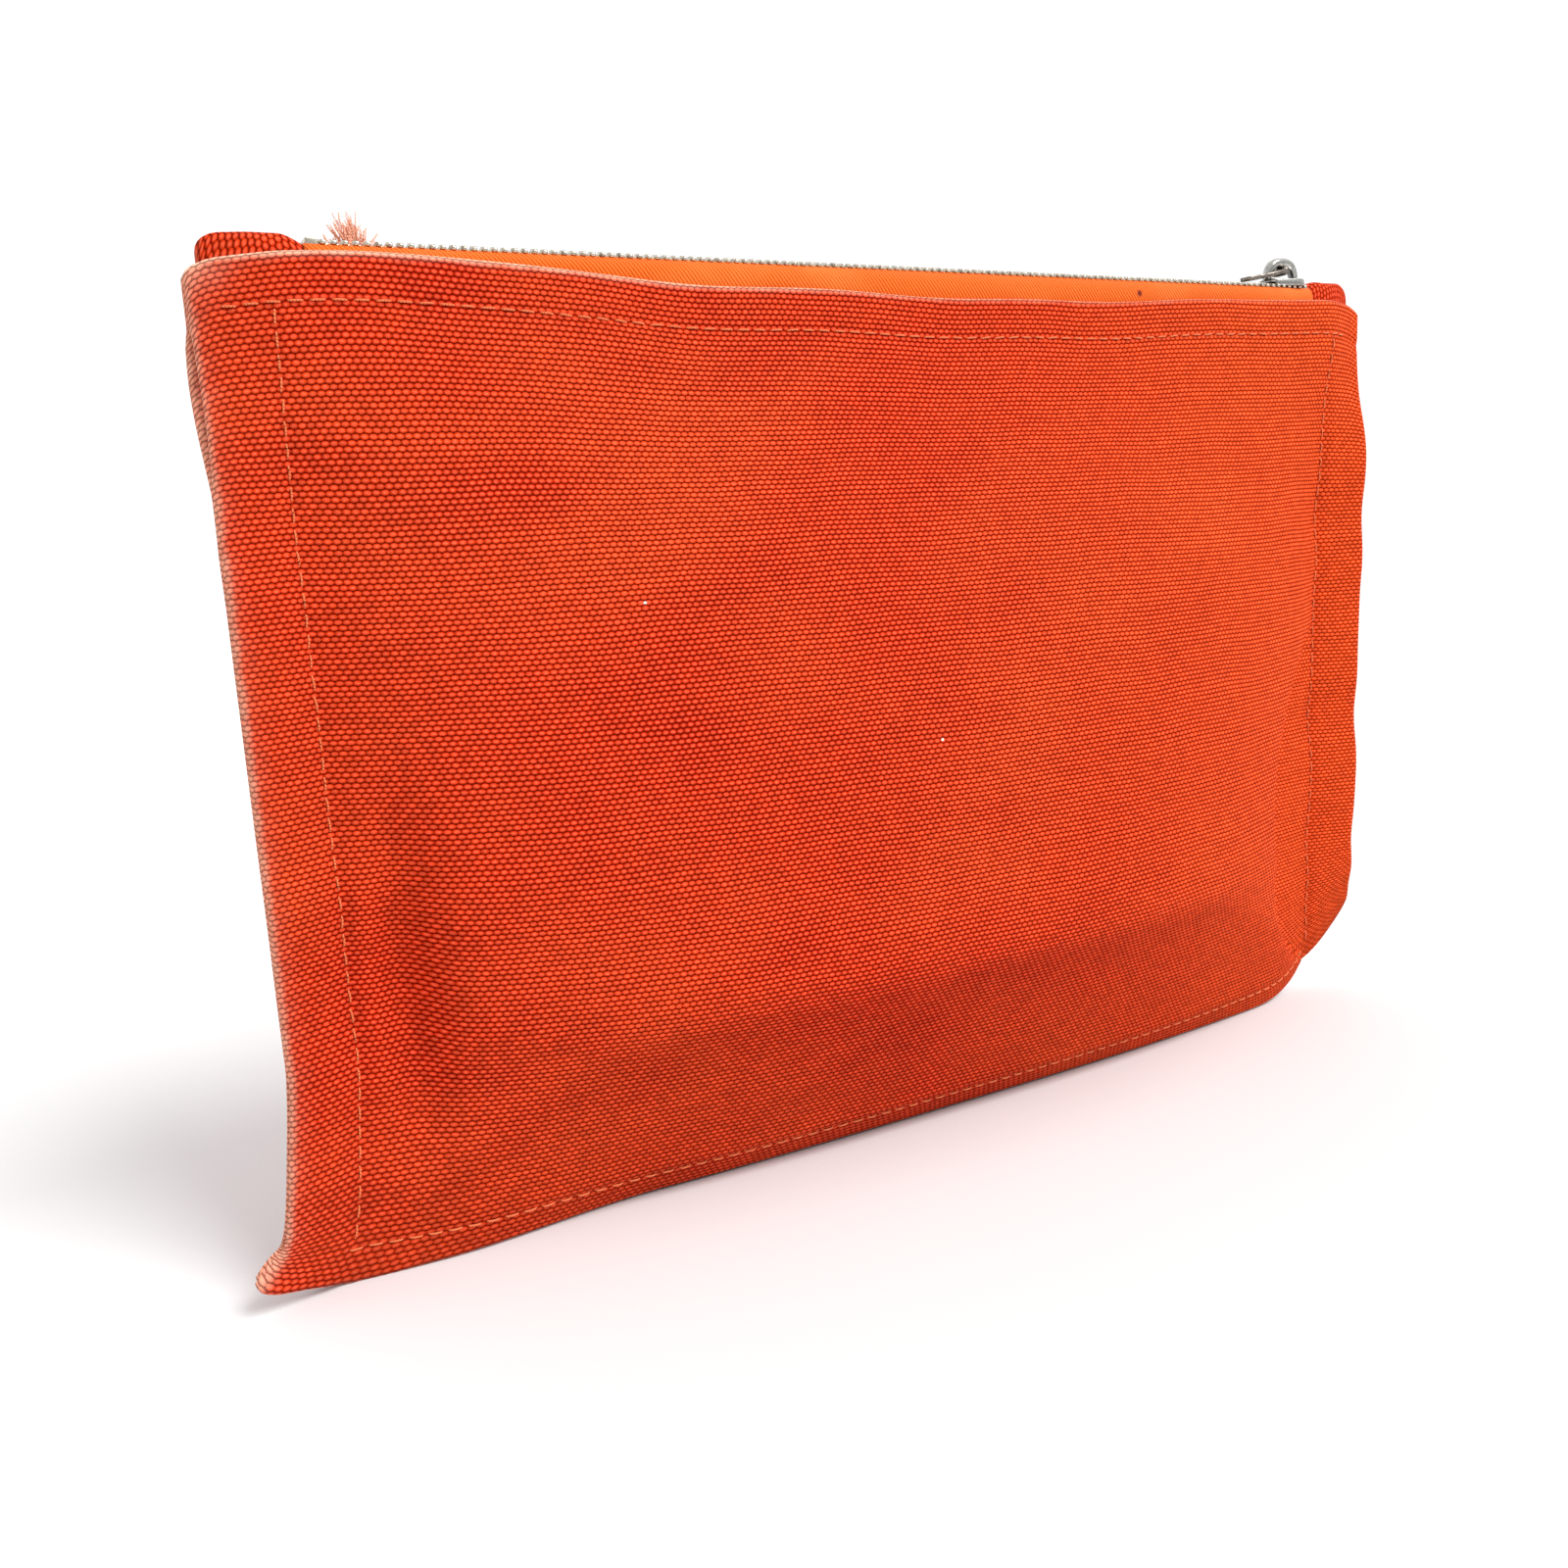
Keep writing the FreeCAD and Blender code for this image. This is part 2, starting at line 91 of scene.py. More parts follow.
def natural_spline(knots, values, at):
    """The natural cubic spline through values (one row per knot), read at the places given."""
    step = np.diff(knots)
    count = len(knots)
    system = np.eye(count)
    right = np.zeros_like(values)
    for k in range(1, count - 1):
        system[k, k - 1:k + 2] = step[k - 1], 2 * (step[k - 1] + step[k]), step[k]
        right[k] = 6 * ((values[k + 1] - values[k]) / step[k]
                        - (values[k] - values[k - 1]) / step[k - 1])
    bend = np.linalg.solve(system, right.reshape(count, -1)).reshape(values.shape)
    k = np.clip(np.searchsorted(knots, at) - 1, 0, count - 2)
    shape = (-1,) + (1,) * (values.ndim - 1)
    gap = step[k].reshape(shape)
    low = (knots[k + 1] - at).reshape(shape)
    high = (at - knots[k]).reshape(shape)
    return ((bend[k] * low ** 3 + bend[k + 1] * high ** 3) / (6 * gap)
            + (values[k] / gap - bend[k] * gap / 6) * low
            + (values[k + 1] / gap - bend[k + 1] * gap / 6) * high)


def in_scene(thing):
    bpy.context.scene.collection.objects.link(thing)
    return thing


def new_piece(name, vertices, faces, body, material, node):
    """A smooth-shaded mesh object that rides on a CAD body and stands for a CAD node."""
    mesh = bpy.data.meshes.new(name)
    mesh.from_pydata([tuple(map(float, v)) for v in vertices], [], faces)
    mesh.materials.append(material)
    mesh.shade_smooth()
    piece = in_scene(bpy.data.objects.new(name, mesh))
    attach(piece, body)
    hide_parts(node)
    return piece


def orient(piece):
    """Turns every face of a closed mesh outwards."""
    mesh = bmesh.new()
    mesh.from_mesh(piece.data)
    bmesh.ops.recalc_face_normals(mesh, faces=mesh.faces)
    mesh.to_mesh(piece.data)
    mesh.free()
    return piece


def paint(piece, **layers):
    """Stores one value, or one (s, t) pair, per vertex for the materials to read."""
    for name, values in layers.items():
        values = np.asarray(values, np.float32)
        kind, field = "FLOAT", "value"
        if values.ndim == 2:
            kind, field = "FLOAT_VECTOR", "vector"
            values = np.pad(values, ((0, 0), (0, 1)))
        piece.data.attributes.new(name, kind, "POINT").data.foreach_set(field, values.ravel())


def grid_lines(start, end, *rows):
    """Places from start to end, closer together near each row of stitches."""
    coarse, fine, reach = 1.7 * MM, 0.6 * MM, 3 * MM
    places = [start]
    while places[-1] < end:
        here = places[-1]
        places.append(here + (fine if any(abs(here + fine - row) < reach for row in rows) else coarse))
    stretch = (end - start) / (places[-1] - start)
    return start + (np.array(places) - start) * stretch


# ---- node materials
class Nodes:
    """A small writer of shader node trees. Sockets and plain numbers mix freely."""

    def __init__(self, owner):
        owner.use_nodes = True
        self.owner = owner
        self.tree = owner.node_tree

    def node(self, kind, output=0, inputs=(), **settings):
        node = self.tree.nodes.new(kind)
        for key, value in settings.items():
            setattr(node, key, value)
        for socket, value in enumerate(inputs) if not isinstance(inputs, dict) else inputs.items():
            self.put(value, node.inputs[socket])
        return node.outputs[output]

    def put(self, value, socket):
        if isinstance(value, bpy.types.NodeSocket):
            self.tree.links.new(value, socket)
        else:
            socket.default_value = value

    def math(self, operation, *values, clamp=False):
        return self.node("ShaderNodeMath", inputs=values, operation=operation, use_clamp=clamp)

    def plus(self, *values):
        return self.math("ADD", *values)

    def times(self, *values):
        return self.math("MULTIPLY", *values)

    def line(self, value, slope, start):
        return self.math("MULTIPLY_ADD", value, slope, start)

    def scaled(self, vector, scale):
        return self.node("ShaderNodeVectorMath", inputs=(vector, scale), operation="MULTIPLY")

    def parts(self, vector):
        """The three sockets of a vector's parts."""
        return self.node("ShaderNodeSeparateXYZ", inputs=(vector,)).node.outputs

    def attribute(self, name, output="Fac"):
        return self.node("ShaderNodeAttribute", output, attribute_name=name)

    def noise(self, vector, scale, detail=2.0, output="Fac"):
        return self.node("ShaderNodeTexNoise", output,
                         {"Vector": vector, "Scale": scale, "Detail": detail})

    def ramp(self, value, low, high, first=0.0, last=1.0):
        """first at low, last at high, smooth between."""
        return self.node("ShaderNodeMapRange", 0, (value, low, high, first, last),
                         interpolation_type="SMOOTHSTEP")

    def mix(self, share, first, second, blend="MIX"):
        node = self.node("ShaderNodeMix", data_type="RGBA", blend_type=blend).node
        for socket, value in ((0, share), (6, first), (7, second)):
            self.put((*value, 1.0) if isinstance(value, tuple) else value, node.inputs[socket])
        return node.outputs[2]

    def spots(self, colour, fabric, places, inner, outer, tint):
        """Small round spots of another colour at places on the cloth."""
        for place in places:
            away = self.node("ShaderNodeVectorMath", 1, (fabric, place), operation="DISTANCE")
            colour = self.mix(self.math("SUBTRACT", 1.0, self.ramp(away, inner, outer)), colour, tint)
        return colour

    def finish(self, colour, roughness, height, depth, **fixed):
        """Links what varies, and sets what is the same all over on the shader's own sockets."""
        shader = self.tree.nodes["Principled BSDF"]
        for name, value in fixed.items():
            shader.inputs[name.replace("_", " ")].default_value = value
        self.put(colour, shader.inputs["Base Color"])
        self.put(roughness, shader.inputs["Roughness"])
        self.put(self.node("ShaderNodeBump", 0, {"Strength": 1.0, "Distance": depth,
                                                 "Height": height}), shader.inputs["Normal"])
        return self.owner


def new_material(name):
    return Nodes(bpy.data.materials.new(name))


def linear(red, green, blue):
    """A colour given in 0-255 steps, as the linear light that the shaders use."""
    return tuple((c / 255 / 12.92) if c <= 10 else ((c / 255 + 0.055) / 1.055) ** 2.4
                 for c in (red, green, blue))


# the cloth's pitch across and down, and the colours of its yarn
GRAIN_PITCH = 1.42 * MM
ROW_PITCH = 1.12 * MM
COTTON = {
    # valley: the deep red of the gaps between grains, partly the yarn's colour and partly painted shade
    "valley": linear(116, 7, 1),
    "crown": linear(225, 53, 17),
    "faded": linear(238, 74, 28),
    # tip: painted highlight, the pale salmon at the grains' tips
    "tip": linear(248, 104, 74),
    # painted light: the two lighter colours below are for the side that faces the key light
    "lit_side": linear(252, 92, 28),
    "lit_side valley": linear(156, 18, 2),
    "deep": linear(196, 34, 8),
    "worn": linear(250, 196, 166),
    "grime": linear(146, 58, 28),
    "lint": linear(255, 246, 236),
}


def plain_weave(n, fabric):
    """Height of a plain weave, 0 to 1, seen as rows of rounded grains set half a step apart, and each
    grain's own shade."""
    wander = n.parts(n.noise(fabric, 38.0, 1.0, "Color"))
    apart = n.parts(fabric)
    down = n.plus(n.math("DIVIDE", apart[1], ROW_PITCH), n.times(wander[1], 1.2))
    row = n.math("FLOOR", down)
    along = n.plus(n.math("DIVIDE", apart[0], GRAIN_PITCH), n.times(wander[0], 1.2))
    along = n.line(row, 0.5, along)

    def squared(place, weight):
        off = n.line(n.math("FRACT", place), 2.0, -1.0)
        return n.times(n.times(off, off), weight)

    away = n.plus(squared(along, 0.80), squared(down, 0.92))
    height = n.math("SQRT", n.math("SUBTRACT", 1.0, away, clamp=True))
    fuzz = n.noise(fabric, 2600.0, 3.0)
    height = n.plus(height, n.times(n.math("SUBTRACT", fuzz, 0.5), 0.5))
    grain = n.node("ShaderNodeCombineXYZ", 0, (n.math("FLOOR", along), row, 0.0))
    shade = n.node("ShaderNodeTexWhiteNoise", 0, {"Vector": grain})
    return height, shade


def canvas_material(name, flecks=()):
    """Dyed cotton canvas: bright crowns with painted highlights on their tips, over deep gaps that are
    partly painted shade; faded patches, a side painted lighter where the key light falls, worn edges,
    grime, painted shade along the stitching and under the belly, and lint.
    """
    n = new_material(name)
    fabric = n.attribute("fabric", "Vector")
    height, shade = plain_weave(n, fabric)
    crowns = n.ramp(height, 0.0, 0.9)
    patches = n.noise(fabric, 14.0, 3.0)
    streaks = n.noise(n.scaled(fabric, (420.0, 30.0, 0.0)), 1.0, 2.0)
    bright = n.mix(n.ramp(patches, 0.38, 0.66), COTTON["crown"], COTTON["faded"])
    bright = n.mix(n.times(n.ramp(streaks, 0.45, 0.75), 0.22), bright, COTTON["faded"])
    deep = n.ramp(n.noise(n.scaled(fabric, (1.0, 1.6, 1.0)), 24.0, 2.0), 0.48, 0.72)
    bright = n.mix(n.times(deep, 0.6), bright, COTTON["deep"])
    # painted light: the right side, which faces the key light, is painted a lighter orange
    lit_side = n.times(n.ramp(n.parts(fabric)[0], -0.03, 0.15), 0.8)
    bright = n.mix(lit_side, bright, COTTON["lit_side"])
    # the gaps between grains: partly the yarn's deeper colour, partly painted shade
    valley = n.mix(lit_side, COTTON["valley"], COTTON["lit_side valley"])
    colour = n.mix(crowns, valley, bright)
    # painted highlight: the grains' tips turn pale salmon
    colour = n.mix(n.ramp(height, 0.72, 1.12), colour, COTTON["tip"])
    # each grain has its own tone, and fine fibres run across it
    tone = n.line(n.math("SUBTRACT", shade, 0.5), 0.3, 1.0)
    fibres = n.noise(n.scaled(fabric, (1700.0, 6500.0, 0.0)), 1.0, 2.0)
    tone = n.plus(tone, n.line(fibres, 0.36, -0.18))
    colour = n.mix(1.0, colour, n.node("ShaderNodeCombineColor", 0, (tone, tone, tone)), "MULTIPLY")
    # grime settles where the cloth is handled, and the colour turns darker and browner towards the bottom
    # edge
    smear = n.ramp(n.noise(fabric, 60.0, 4.0), 0.3, 0.7)
    grime = n.times(n.attribute("grime"), n.line(smear, 0.7, 0.3))
    colour = n.mix(n.times(grime, 0.62), colour, COTTON["grime"])
    # wear takes the dye off the crowns first
    worn = n.attribute("wear")
    rub = n.line(n.noise(fabric, 260.0, 3.0), 0.9, -0.45)
    rubbed = n.ramp(n.plus(worn, n.times(rub, worn)), 0.12, 0.95)
    colour = n.mix(n.times(rubbed, n.line(crowns, 0.6, 0.4)), colour, COTTON["worn"])
    # painted shade along the stitching and below the crease: the colour goes towards the gaps' colour
    colour = n.mix(n.times(n.attribute("pinch"), 0.55), colour, COTTON["valley"])
    colour = n.spots(colour, fabric, flecks, 0.2 * MM, 0.42 * MM, COTTON["lint"])
    roughness = n.line(n.noise(fabric, 900.0, 3.0), 0.16, 0.78)
    return n.finish(colour, roughness, height, 0.36 * MM, Specular_IOR_Level=0.03,
                    Sheen_Weight=0.015, Sheen_Roughness=0.5,
                    Sheen_Tint=(*linear(255, 150, 110), 1.0))


def tape_material(name, specks=()):
    """Cotton zip tape in a diagonal twill, brighter than the canvas."""
    n = new_material(name)
    fabric = n.attribute("fabric", "Vector")
    across, along, _ = n.parts(fabric)
    ribs = n.plus(n.math("DIVIDE", across, 0.88 * MM), n.math("DIVIDE", along, 1.3 * MM))
    rib = n.line(n.math("SINE", n.times(ribs, 2 * math.pi)), 0.5, 0.5)
    cross = n.math("SINE", n.times(n.math("DIVIDE", across, 0.36 * MM), math.pi))
    height = n.plus(n.times(rib, 0.8), n.times(n.math("ABSOLUTE", cross), 0.2))
    height = n.plus(height, n.times(n.noise(fabric, 2600.0), 0.3))
    colour = n.mix(n.ramp(height, 0.15, 0.95), linear(206, 66, 8), linear(246, 116, 22))
    faded = n.times(n.ramp(n.noise(fabric, 45.0, 3.0), 0.45, 0.75), 0.4)
    colour = n.mix(faded, colour, linear(244, 136, 60))
    colour = n.spots(colour, fabric, specks, 0.3 * MM, 1.1 * MM, linear(120, 26, 10))
    return n.finish(colour, n.line(rib, -0.12, 0.82), height, 0.16 * MM,
                    Specular_IOR_Level=0.2, Sheen_Weight=0.05, Sheen_Roughness=0.5)


def thread_material(name, light, dark):
    """Two-ply sewing thread: the twist shows as slanted bands along each stitch."""
    n = new_material(name)
    fabric = n.attribute("fabric", "Vector")
    along, turn, _ = n.parts(fabric)
    band = n.plus(n.math("DIVIDE", along, 0.55 * MM), turn)
    twist = n.math("ABSOLUTE", n.math("SINE", n.times(band, math.pi)))
    fibres = n.noise(n.scaled(fabric, (3000.0, 8.0, 0.0)), 1.0)
    height = n.plus(twist, n.times(fibres, 0.3))
    colour = n.mix(n.ramp(height, 0.1, 1.0), dark, light)
    return n.finish(colour, n.line(fibres, 0.2, 0.55), height, 0.05 * MM,
                    Specular_IOR_Level=0.3, Sheen_Weight=0.08)


def metal_material(name, light, dark, roughness, tarnish):
    """Plated metal: brushed by handling, dull and darker in patches, with fine scratches."""
    n = new_material(name)
    place = n.node("ShaderNodeNewGeometry", "Position")
    cloud = n.noise(place, 900.0, 4.0)
    scratches = n.noise(n.scaled(place, (900.0, 9000.0, 7000.0)), 1.0, 3.0)
    dulled = n.times(n.ramp(cloud, 0.42, 0.72), tarnish)
    rough = n.plus(n.line(dulled, 0.22, roughness), n.times(n.ramp(scratches, 0.5, 0.8), 0.12))
    height = n.plus(n.times(scratches, 0.5), cloud)
    return n.finish(n.mix(dulled, light, dark), rough, height, 0.012 * MM, Metallic=1.0)


# ---- the pouch's measures
EDGE_X, _, MOUTH_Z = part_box("front_panel")[1]
SEAM_MARGIN = 14.0 * MM
SEAM_X = EDGE_X - SEAM_MARGIN
BASE_MARGIN = 7.5 * MM
CANVAS = 1.3 * MM
HEM = 2.4 * MM
DOUBLED = 2.2 * MM
MOUTH_Y = -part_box("zip_tape_front")[0].y + 0.15 * MM + HEM
HEM_STITCH = 9.2 * MM
SIDE_STITCH = SEAM_MARGIN - 0.6 * MM
BASE_STITCH = BASE_MARGIN - 1.1 * MM
CLOTH_HEIGHT = 198.5 * MM  # from the mouth fold to the bottom seam, along the cloth
LAST_DOWN = CLOTH_HEIGHT + BASE_MARGIN
STITCH_X = EDGE_X - SIDE_STITCH
BASE_ROW = LAST_DOWN - BASE_STITCH
CREASE = 38.5 * MM  # from the bottom seam up to the crease under the belly, along the cloth
FOOT_SHADE = 0.36  # how much deeper the colour is below the crease
HOLE_SHADE = 0.22  # and at the rows of stitches

# shares of the mouth's height, with the share of the belly's depth there and the gap in
# millimetres between the two panels' margins, which the zip's end tabs hold open at the top
WALL = ((1.0, 0.0, 4.5), (0.95, 0.01, 4.5), (0.9, 0.09, 3.2), (0.845, 0.22, 1.5), (0.765, 0.43, 0.4),
        (0.655, 0.66, 0.08), (0.545, 0.82, 0.05), (0.435, 0.93, 0.05), (0.33, 1.0, 0.05))
# below that: depth and height where the belly is full, in millimetres
FOOT = {
    FRONT: ((31.5, 47.5), (30.8, 43.0), (27.4, 36.5), (22.8, 27.0), (19.1, 17.0), (16.8, 10.5)),
    BACK: ((28.4, 42.0), (26.8, 20.0), (23.0, 5.8), (16.0, 0.9), (8.6, 1.6), (1.6, 5.2), (-5.0, 8.6)),
}
SEAM_Y = 16.0 * MM  # how far in front of the middle plane the bottom seam lies
FOOT_Y = 9.0 * MM   # and the bottom edge, which leans back under the belly
BELLY = {FRONT: 30.0 * MM, BACK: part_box("back_panel")[1].y - 0.6 * MM}


def fullness(x):
    """How far the belly stands out at x: 0 in the side margins, 1 in the middle."""
    reach = np.clip(np.abs(x) / SEAM_X, 0.0, 1.0)
    return (1.0 - reach ** 2.8) ** 0.85


def crease_rise(x):
    """How high the crease under the belly has come at x, as it climbs from the bottom corners."""
    reach = np.clip((SEAM_X - np.abs(x)) / (64 * MM), 0.0, 1.0)
    return 1.0 - (1.0 - reach) ** 1.5


def section_points(side, x):
    """A panel's outer face from mouth fold to bottom seam, one row of (y, z) per control point."""
    full, rise = fullness(x), crease_rise(x)
    closed = 1.0 - 0.85 * smooth(SEAM_X - 2 * MM, EDGE_X - 1 * MM, np.abs(x))
    rows = []
    for height, share, gap in WALL:
        flat_y = gap * MM * closed + DOUBLED
        full_y = MOUTH_Y + (BELLY[side] - MOUTH_Y) * share
        rows.append((side * (flat_y + (full_y - flat_y) * full), np.full_like(x, height * MOUTH_Z)))
    hang = WALL[-1][0] * MOUTH_Z
    line = [(BELLY[side], hang)] + [(y * MM, z * MM) for y, z in FOOT[side]]
    line.append((-side * SEAM_Y, BASE_MARGIN))
    run = np.cumsum([math.dist(a, b) for a, b in zip(line, line[1:])])
    for (full_y, full_z), share in zip(line[1:-1], run / run[-1]):
        flat_z = hang + (BASE_MARGIN - hang) * share
        y = DOUBLED + (full_y - DOUBLED) * full
        rows.append((side * y, flat_z + (full_z - flat_z) * rise))
    lean = base_lean(x)
    across = DOUBLED * (0.0 if side == FRONT else 2.0)
    rows.append((-(DOUBLED + (SEAM_Y - DOUBLED) * full) + across * np.cos(lean),
                 BASE_MARGIN + across * np.sin(lean)))
    return np.array(rows).transpose(0, 2, 1)


def base_lean(x):
    """How far the base margin leans back under the belly."""
    return np.arctan2((SEAM_Y - FOOT_Y) * fullness(x), BASE_MARGIN)


def bottom_edge(side, x):
    """The panel's lowest line, where its bottom margin ends."""
    lean = base_lean(x)
    length = np.hypot((SEAM_Y - FOOT_Y) * fullness(x), BASE_MARGIN)
    across = DOUBLED * (0.0 if side == FRONT else 2.0)
    y = -(DOUBLED + (SEAM_Y - DOUBLED) * fullness(x)) + length * np.sin(lean) + across * np.cos(lean)
    return np.stack((y, BASE_MARGIN - length * np.cos(lean) + across * np.sin(lean)), axis=-1)


def outer_face(side, across, down):
    """Points of a panel's outer face on a grid of cloth places across and down, without folds."""
    points = section_points(side, across)
    knots = run_along(points[:, len(across) // 2])
    wall = natural_spline(knots, points, np.linspace(0, knots[-1], 400))
    share = np.clip(down / CLOTH_HEIGHT, 0.0, 1.0)
    past = np.clip((down - CLOTH_HEIGHT) / BASE_MARGIN, 0.0, 1.0)
    foot = bottom_edge(side, across)
    grid = np.zeros((len(across), len(down), 3))
    grid[:, :, 0] = across[:, None]
    for i in range(len(across)):
        along = run_along(wall[:, i])
        for axis in (0, 1):
            line = wall[:, i, axis]
            grid[i, :, axis + 1] = (np.interp(share * along[-1], along, line)
                                    + past * (foot[i, axis] - line[-1]))
    return grid


def softer_of(first, second, blend):
    """The larger of two values, with the change from one to the other rounded off."""
    apart = first - second
    return (first + second + np.sqrt(apart ** 2 + blend ** 2)) / 2


def sculpt(side, grid):
    """Hollows beside the seams, soft folds and the slack of a half-filled pouch."""
    x, z = grid[..., 0], grid[..., 2]
    inside = smooth(SEAM_X + 1 * MM, SEAM_X - 14 * MM, np.abs(x))
    left_hollow = 7.5 * MM * bump(x, -SEAM_X + 9.5 * MM, 5.2 * MM) * bump(z, 58 * MM, 27 * MM)
    slack = waviness(grid[..., (0, 2)], 62 * MM, 3.7 + side) * 1.5 * MM * inside
    slack += waviness(grid[..., (0, 2)], 27 * MM, 11.3 + side) * 0.35 * MM * inside
    fade = smooth(MOUTH_Z, MOUTH_Z - 30 * MM, z) * smooth(8 * MM, 34 * MM, z)
    grid[..., 1] -= side * (left_hollow - slack * fade)
    # the belly's right side ends in a rounded fold, with a flat strip between it and the stitching
    tall = np.clip(1.0 - ((z - 54 * MM) / (48 * MM)) ** 2, 0.0, 1.0) ** 0.7
    fold_x = SEAM_X - 21.5 * MM * tall
    strip = -2.6 * MM - 1.7 * np.maximum(fold_x - x, 0.0)
    depth = grid[..., 1] * -side
    held = softer_of(depth, strip, 2.0 * MM)
    grid[..., 1] = -side * (depth + (held - depth) * smooth(60 * MM, 90 * MM, x)
                             * smooth(118 * MM, 100 * MM, z))
    return grid


def margin_flare(grid):
    """Side margins swing forward of their stitching, with shallow puckers along them."""
    x, z = grid[..., 0], grid[..., 2]
    out = np.clip((np.abs(x) - SEAM_X + 2 * MM) / SEAM_MARGIN, 0.0, 1.1)
    below_tabs = smooth(MOUTH_Z - 8 * MM, MOUTH_Z - 38 * MM, z)
    set_back = smooth(SEAM_X - 22 * MM, SEAM_X, np.abs(x)) * 1.2 * MM * below_tabs
    puckers = 0.0
    for length, size, phase in ((43.0, 0.45, 0.4), (29.0, 0.35, 2.1), (18.0, 0.18, 4.4)):
        puckers = puckers + size * MM * np.sin(2 * math.pi * z / (length * MM) + phase + 2.0 * (x > 0))
    near_seam = bump(np.abs(x), SEAM_X + 5 * MM, 15 * MM)
    grid[..., 1] += set_back - 4.6 * MM * out * below_tabs + puckers * near_seam * below_tabs
    return grid


def mouth_sag(grid):
    """The mouth line dips a little in the middle and waves where the canvas is slack."""
    x, z = grid[..., 0], grid[..., 2]
    top = smooth(MOUTH_Z - 60 * MM, MOUTH_Z, z)
    dip = 1.2 * MM * np.cos(np.clip(x / EDGE_X, -1, 1) * math.pi / 2) ** 2
    wave = 0.35 * MM * np.sin(x / (19 * MM)) + 0.25 * MM * np.sin(x / (8.3 * MM) + 1.0)
    lift = 3.4 * MM * bump(x, -104 * MM, 34 * MM) + 1.3 * MM * bump(x, 122 * MM, 26 * MM)
    corner = np.clip((np.abs(x) - EDGE_X + 6 * MM) / (6 * MM), 0.0, 1.0)
    rounding = 3.0 * MM * (1.0 - np.sqrt(1.0 - corner ** 2))
    grid[..., 2] += (lift - dip - wave - rounding) * top
    return grid


def left_corner(grid):
    """The bottom left corner splays outwards and forwards, and its ear curls up a little."""
    x, z = grid[..., 0].copy(), grid[..., 2].copy()
    near = smooth(-EDGE_X + 46 * MM, -EDGE_X + 4 * MM, x)
    wide = smooth(-EDGE_X + 70 * MM, -EDGE_X + 12 * MM, x)
    drop = np.clip((42 * MM - z) / (42 * MM), 0.0, 1.0)
    grid[..., 0] -= near * (6.5 * MM * drop ** 1.2 + 4.0 * MM * drop ** 7)
    grid[..., 1] -= 7.5 * MM * wide * drop ** 1.1
    corner = np.clip((-x - EDGE_X + 7 * MM) / (7 * MM), 0.0, 1.0)
    grid[..., 2] += 4.5 * MM * (1.0 - np.sqrt(1.0 - corner ** 2)) * smooth(13 * MM, 0.0, z)
    tip = smooth(-EDGE_X + 8 * MM, -EDGE_X - 7 * MM, grid[..., 0]) * smooth(15 * MM, 1 * MM, z)
    grid[..., 2] += 3.2 * MM * tip
    return grid


def right_corner(grid):
    """The bottom right corner turns up and back in a round."""
    x, z = grid[..., 0], grid[..., 2]
    reach = np.clip((x - EDGE_X + 42.5 * MM) / (42.5 * MM), 0.0, 1.0)
    lift = 22.0 * MM * reach ** 2.9 * np.clip(1.0 - z / (50 * MM), 0.0, 1.0) ** 2
    grid[..., 2] += lift
    grid[..., 1] += 0.15 * lift
    return grid


def face_normals(grid, side):
    """Unit normals of a grid of points, pointing out of the pouch."""
    along = np.gradient(grid, axis=0)
    down = np.gradient(grid, axis=1)
    normal = np.cross(down, along) * -side
    return normal / np.maximum(np.linalg.norm(normal, axis=-1, keepdims=True), 1e-12)


def edge_distance(places, first, last):
    return np.minimum(places - first, last - places)


def roundness(distance, reach):
    """Height of a rounded edge, as a share, at a distance in from it."""
    inside = np.clip(1.0 - distance / reach, 0.0, 1.0)
    return np.sqrt(1.0 - inside ** 2)


def round_lines(places, first, last, reach):
    """Adds the closely spaced lines that a rounded edge needs."""
    near = reach * (1 - np.cos(np.linspace(0, math.pi / 2, 6)))
    kept = places[(places > first + reach * 1.2) & (places < last - reach * 1.2)]
    return np.concatenate((first + near, kept, last - near[::-1]))


def wrapped(places, first, last, reach):
    """Cloth coordinate along a rounded edge, so that the weave keeps its size there."""
    away = edge_distance(places, first, last)
    inside = np.arccos(np.clip(1 - away / reach, -1, 1))
    extra = np.where(away < reach, reach * (math.pi / 2 - inside) - (reach - away), 0.0)
    return places + np.where(places < (first + last) / 2, -extra, extra)


def shaded_foot(across, down):
    """Painted shade: below the crease, under the belly, the cloth's colour is made deeper."""
    crease = (CLOTH_HEIGHT - CREASE * crease_rise(across))[:, None]
    below = smooth(-5 * MM, 4 * MM, down[None, :] - crease)
    return below * smooth(EDGE_X, SEAM_X - 8 * MM, np.abs(across))[:, None]


def stitch_dimples(across, down):
    """How deep each row of stitching pulls the cloth in, as a share."""
    side = np.abs(np.abs(across) - STITCH_X)[:, None]
    hem = np.abs(down - HEM_STITCH)[None, :]
    base = np.abs(down - BASE_ROW)[None, :]
    in_height = (down > HEM_STITCH)[None, :]
    in_width = (np.abs(across) < STITCH_X + 1 * MM)[:, None]
    side, hem, base = (bump(away, 0.0, 1.3 * MM) for away in (side, hem, base))
    return np.maximum(np.maximum(side * in_height, hem), base * in_width)


def edge_fall(away, reach):
    """1 at an edge, falling off over a reach from it."""
    return np.exp(-((away / reach) ** 1.3))


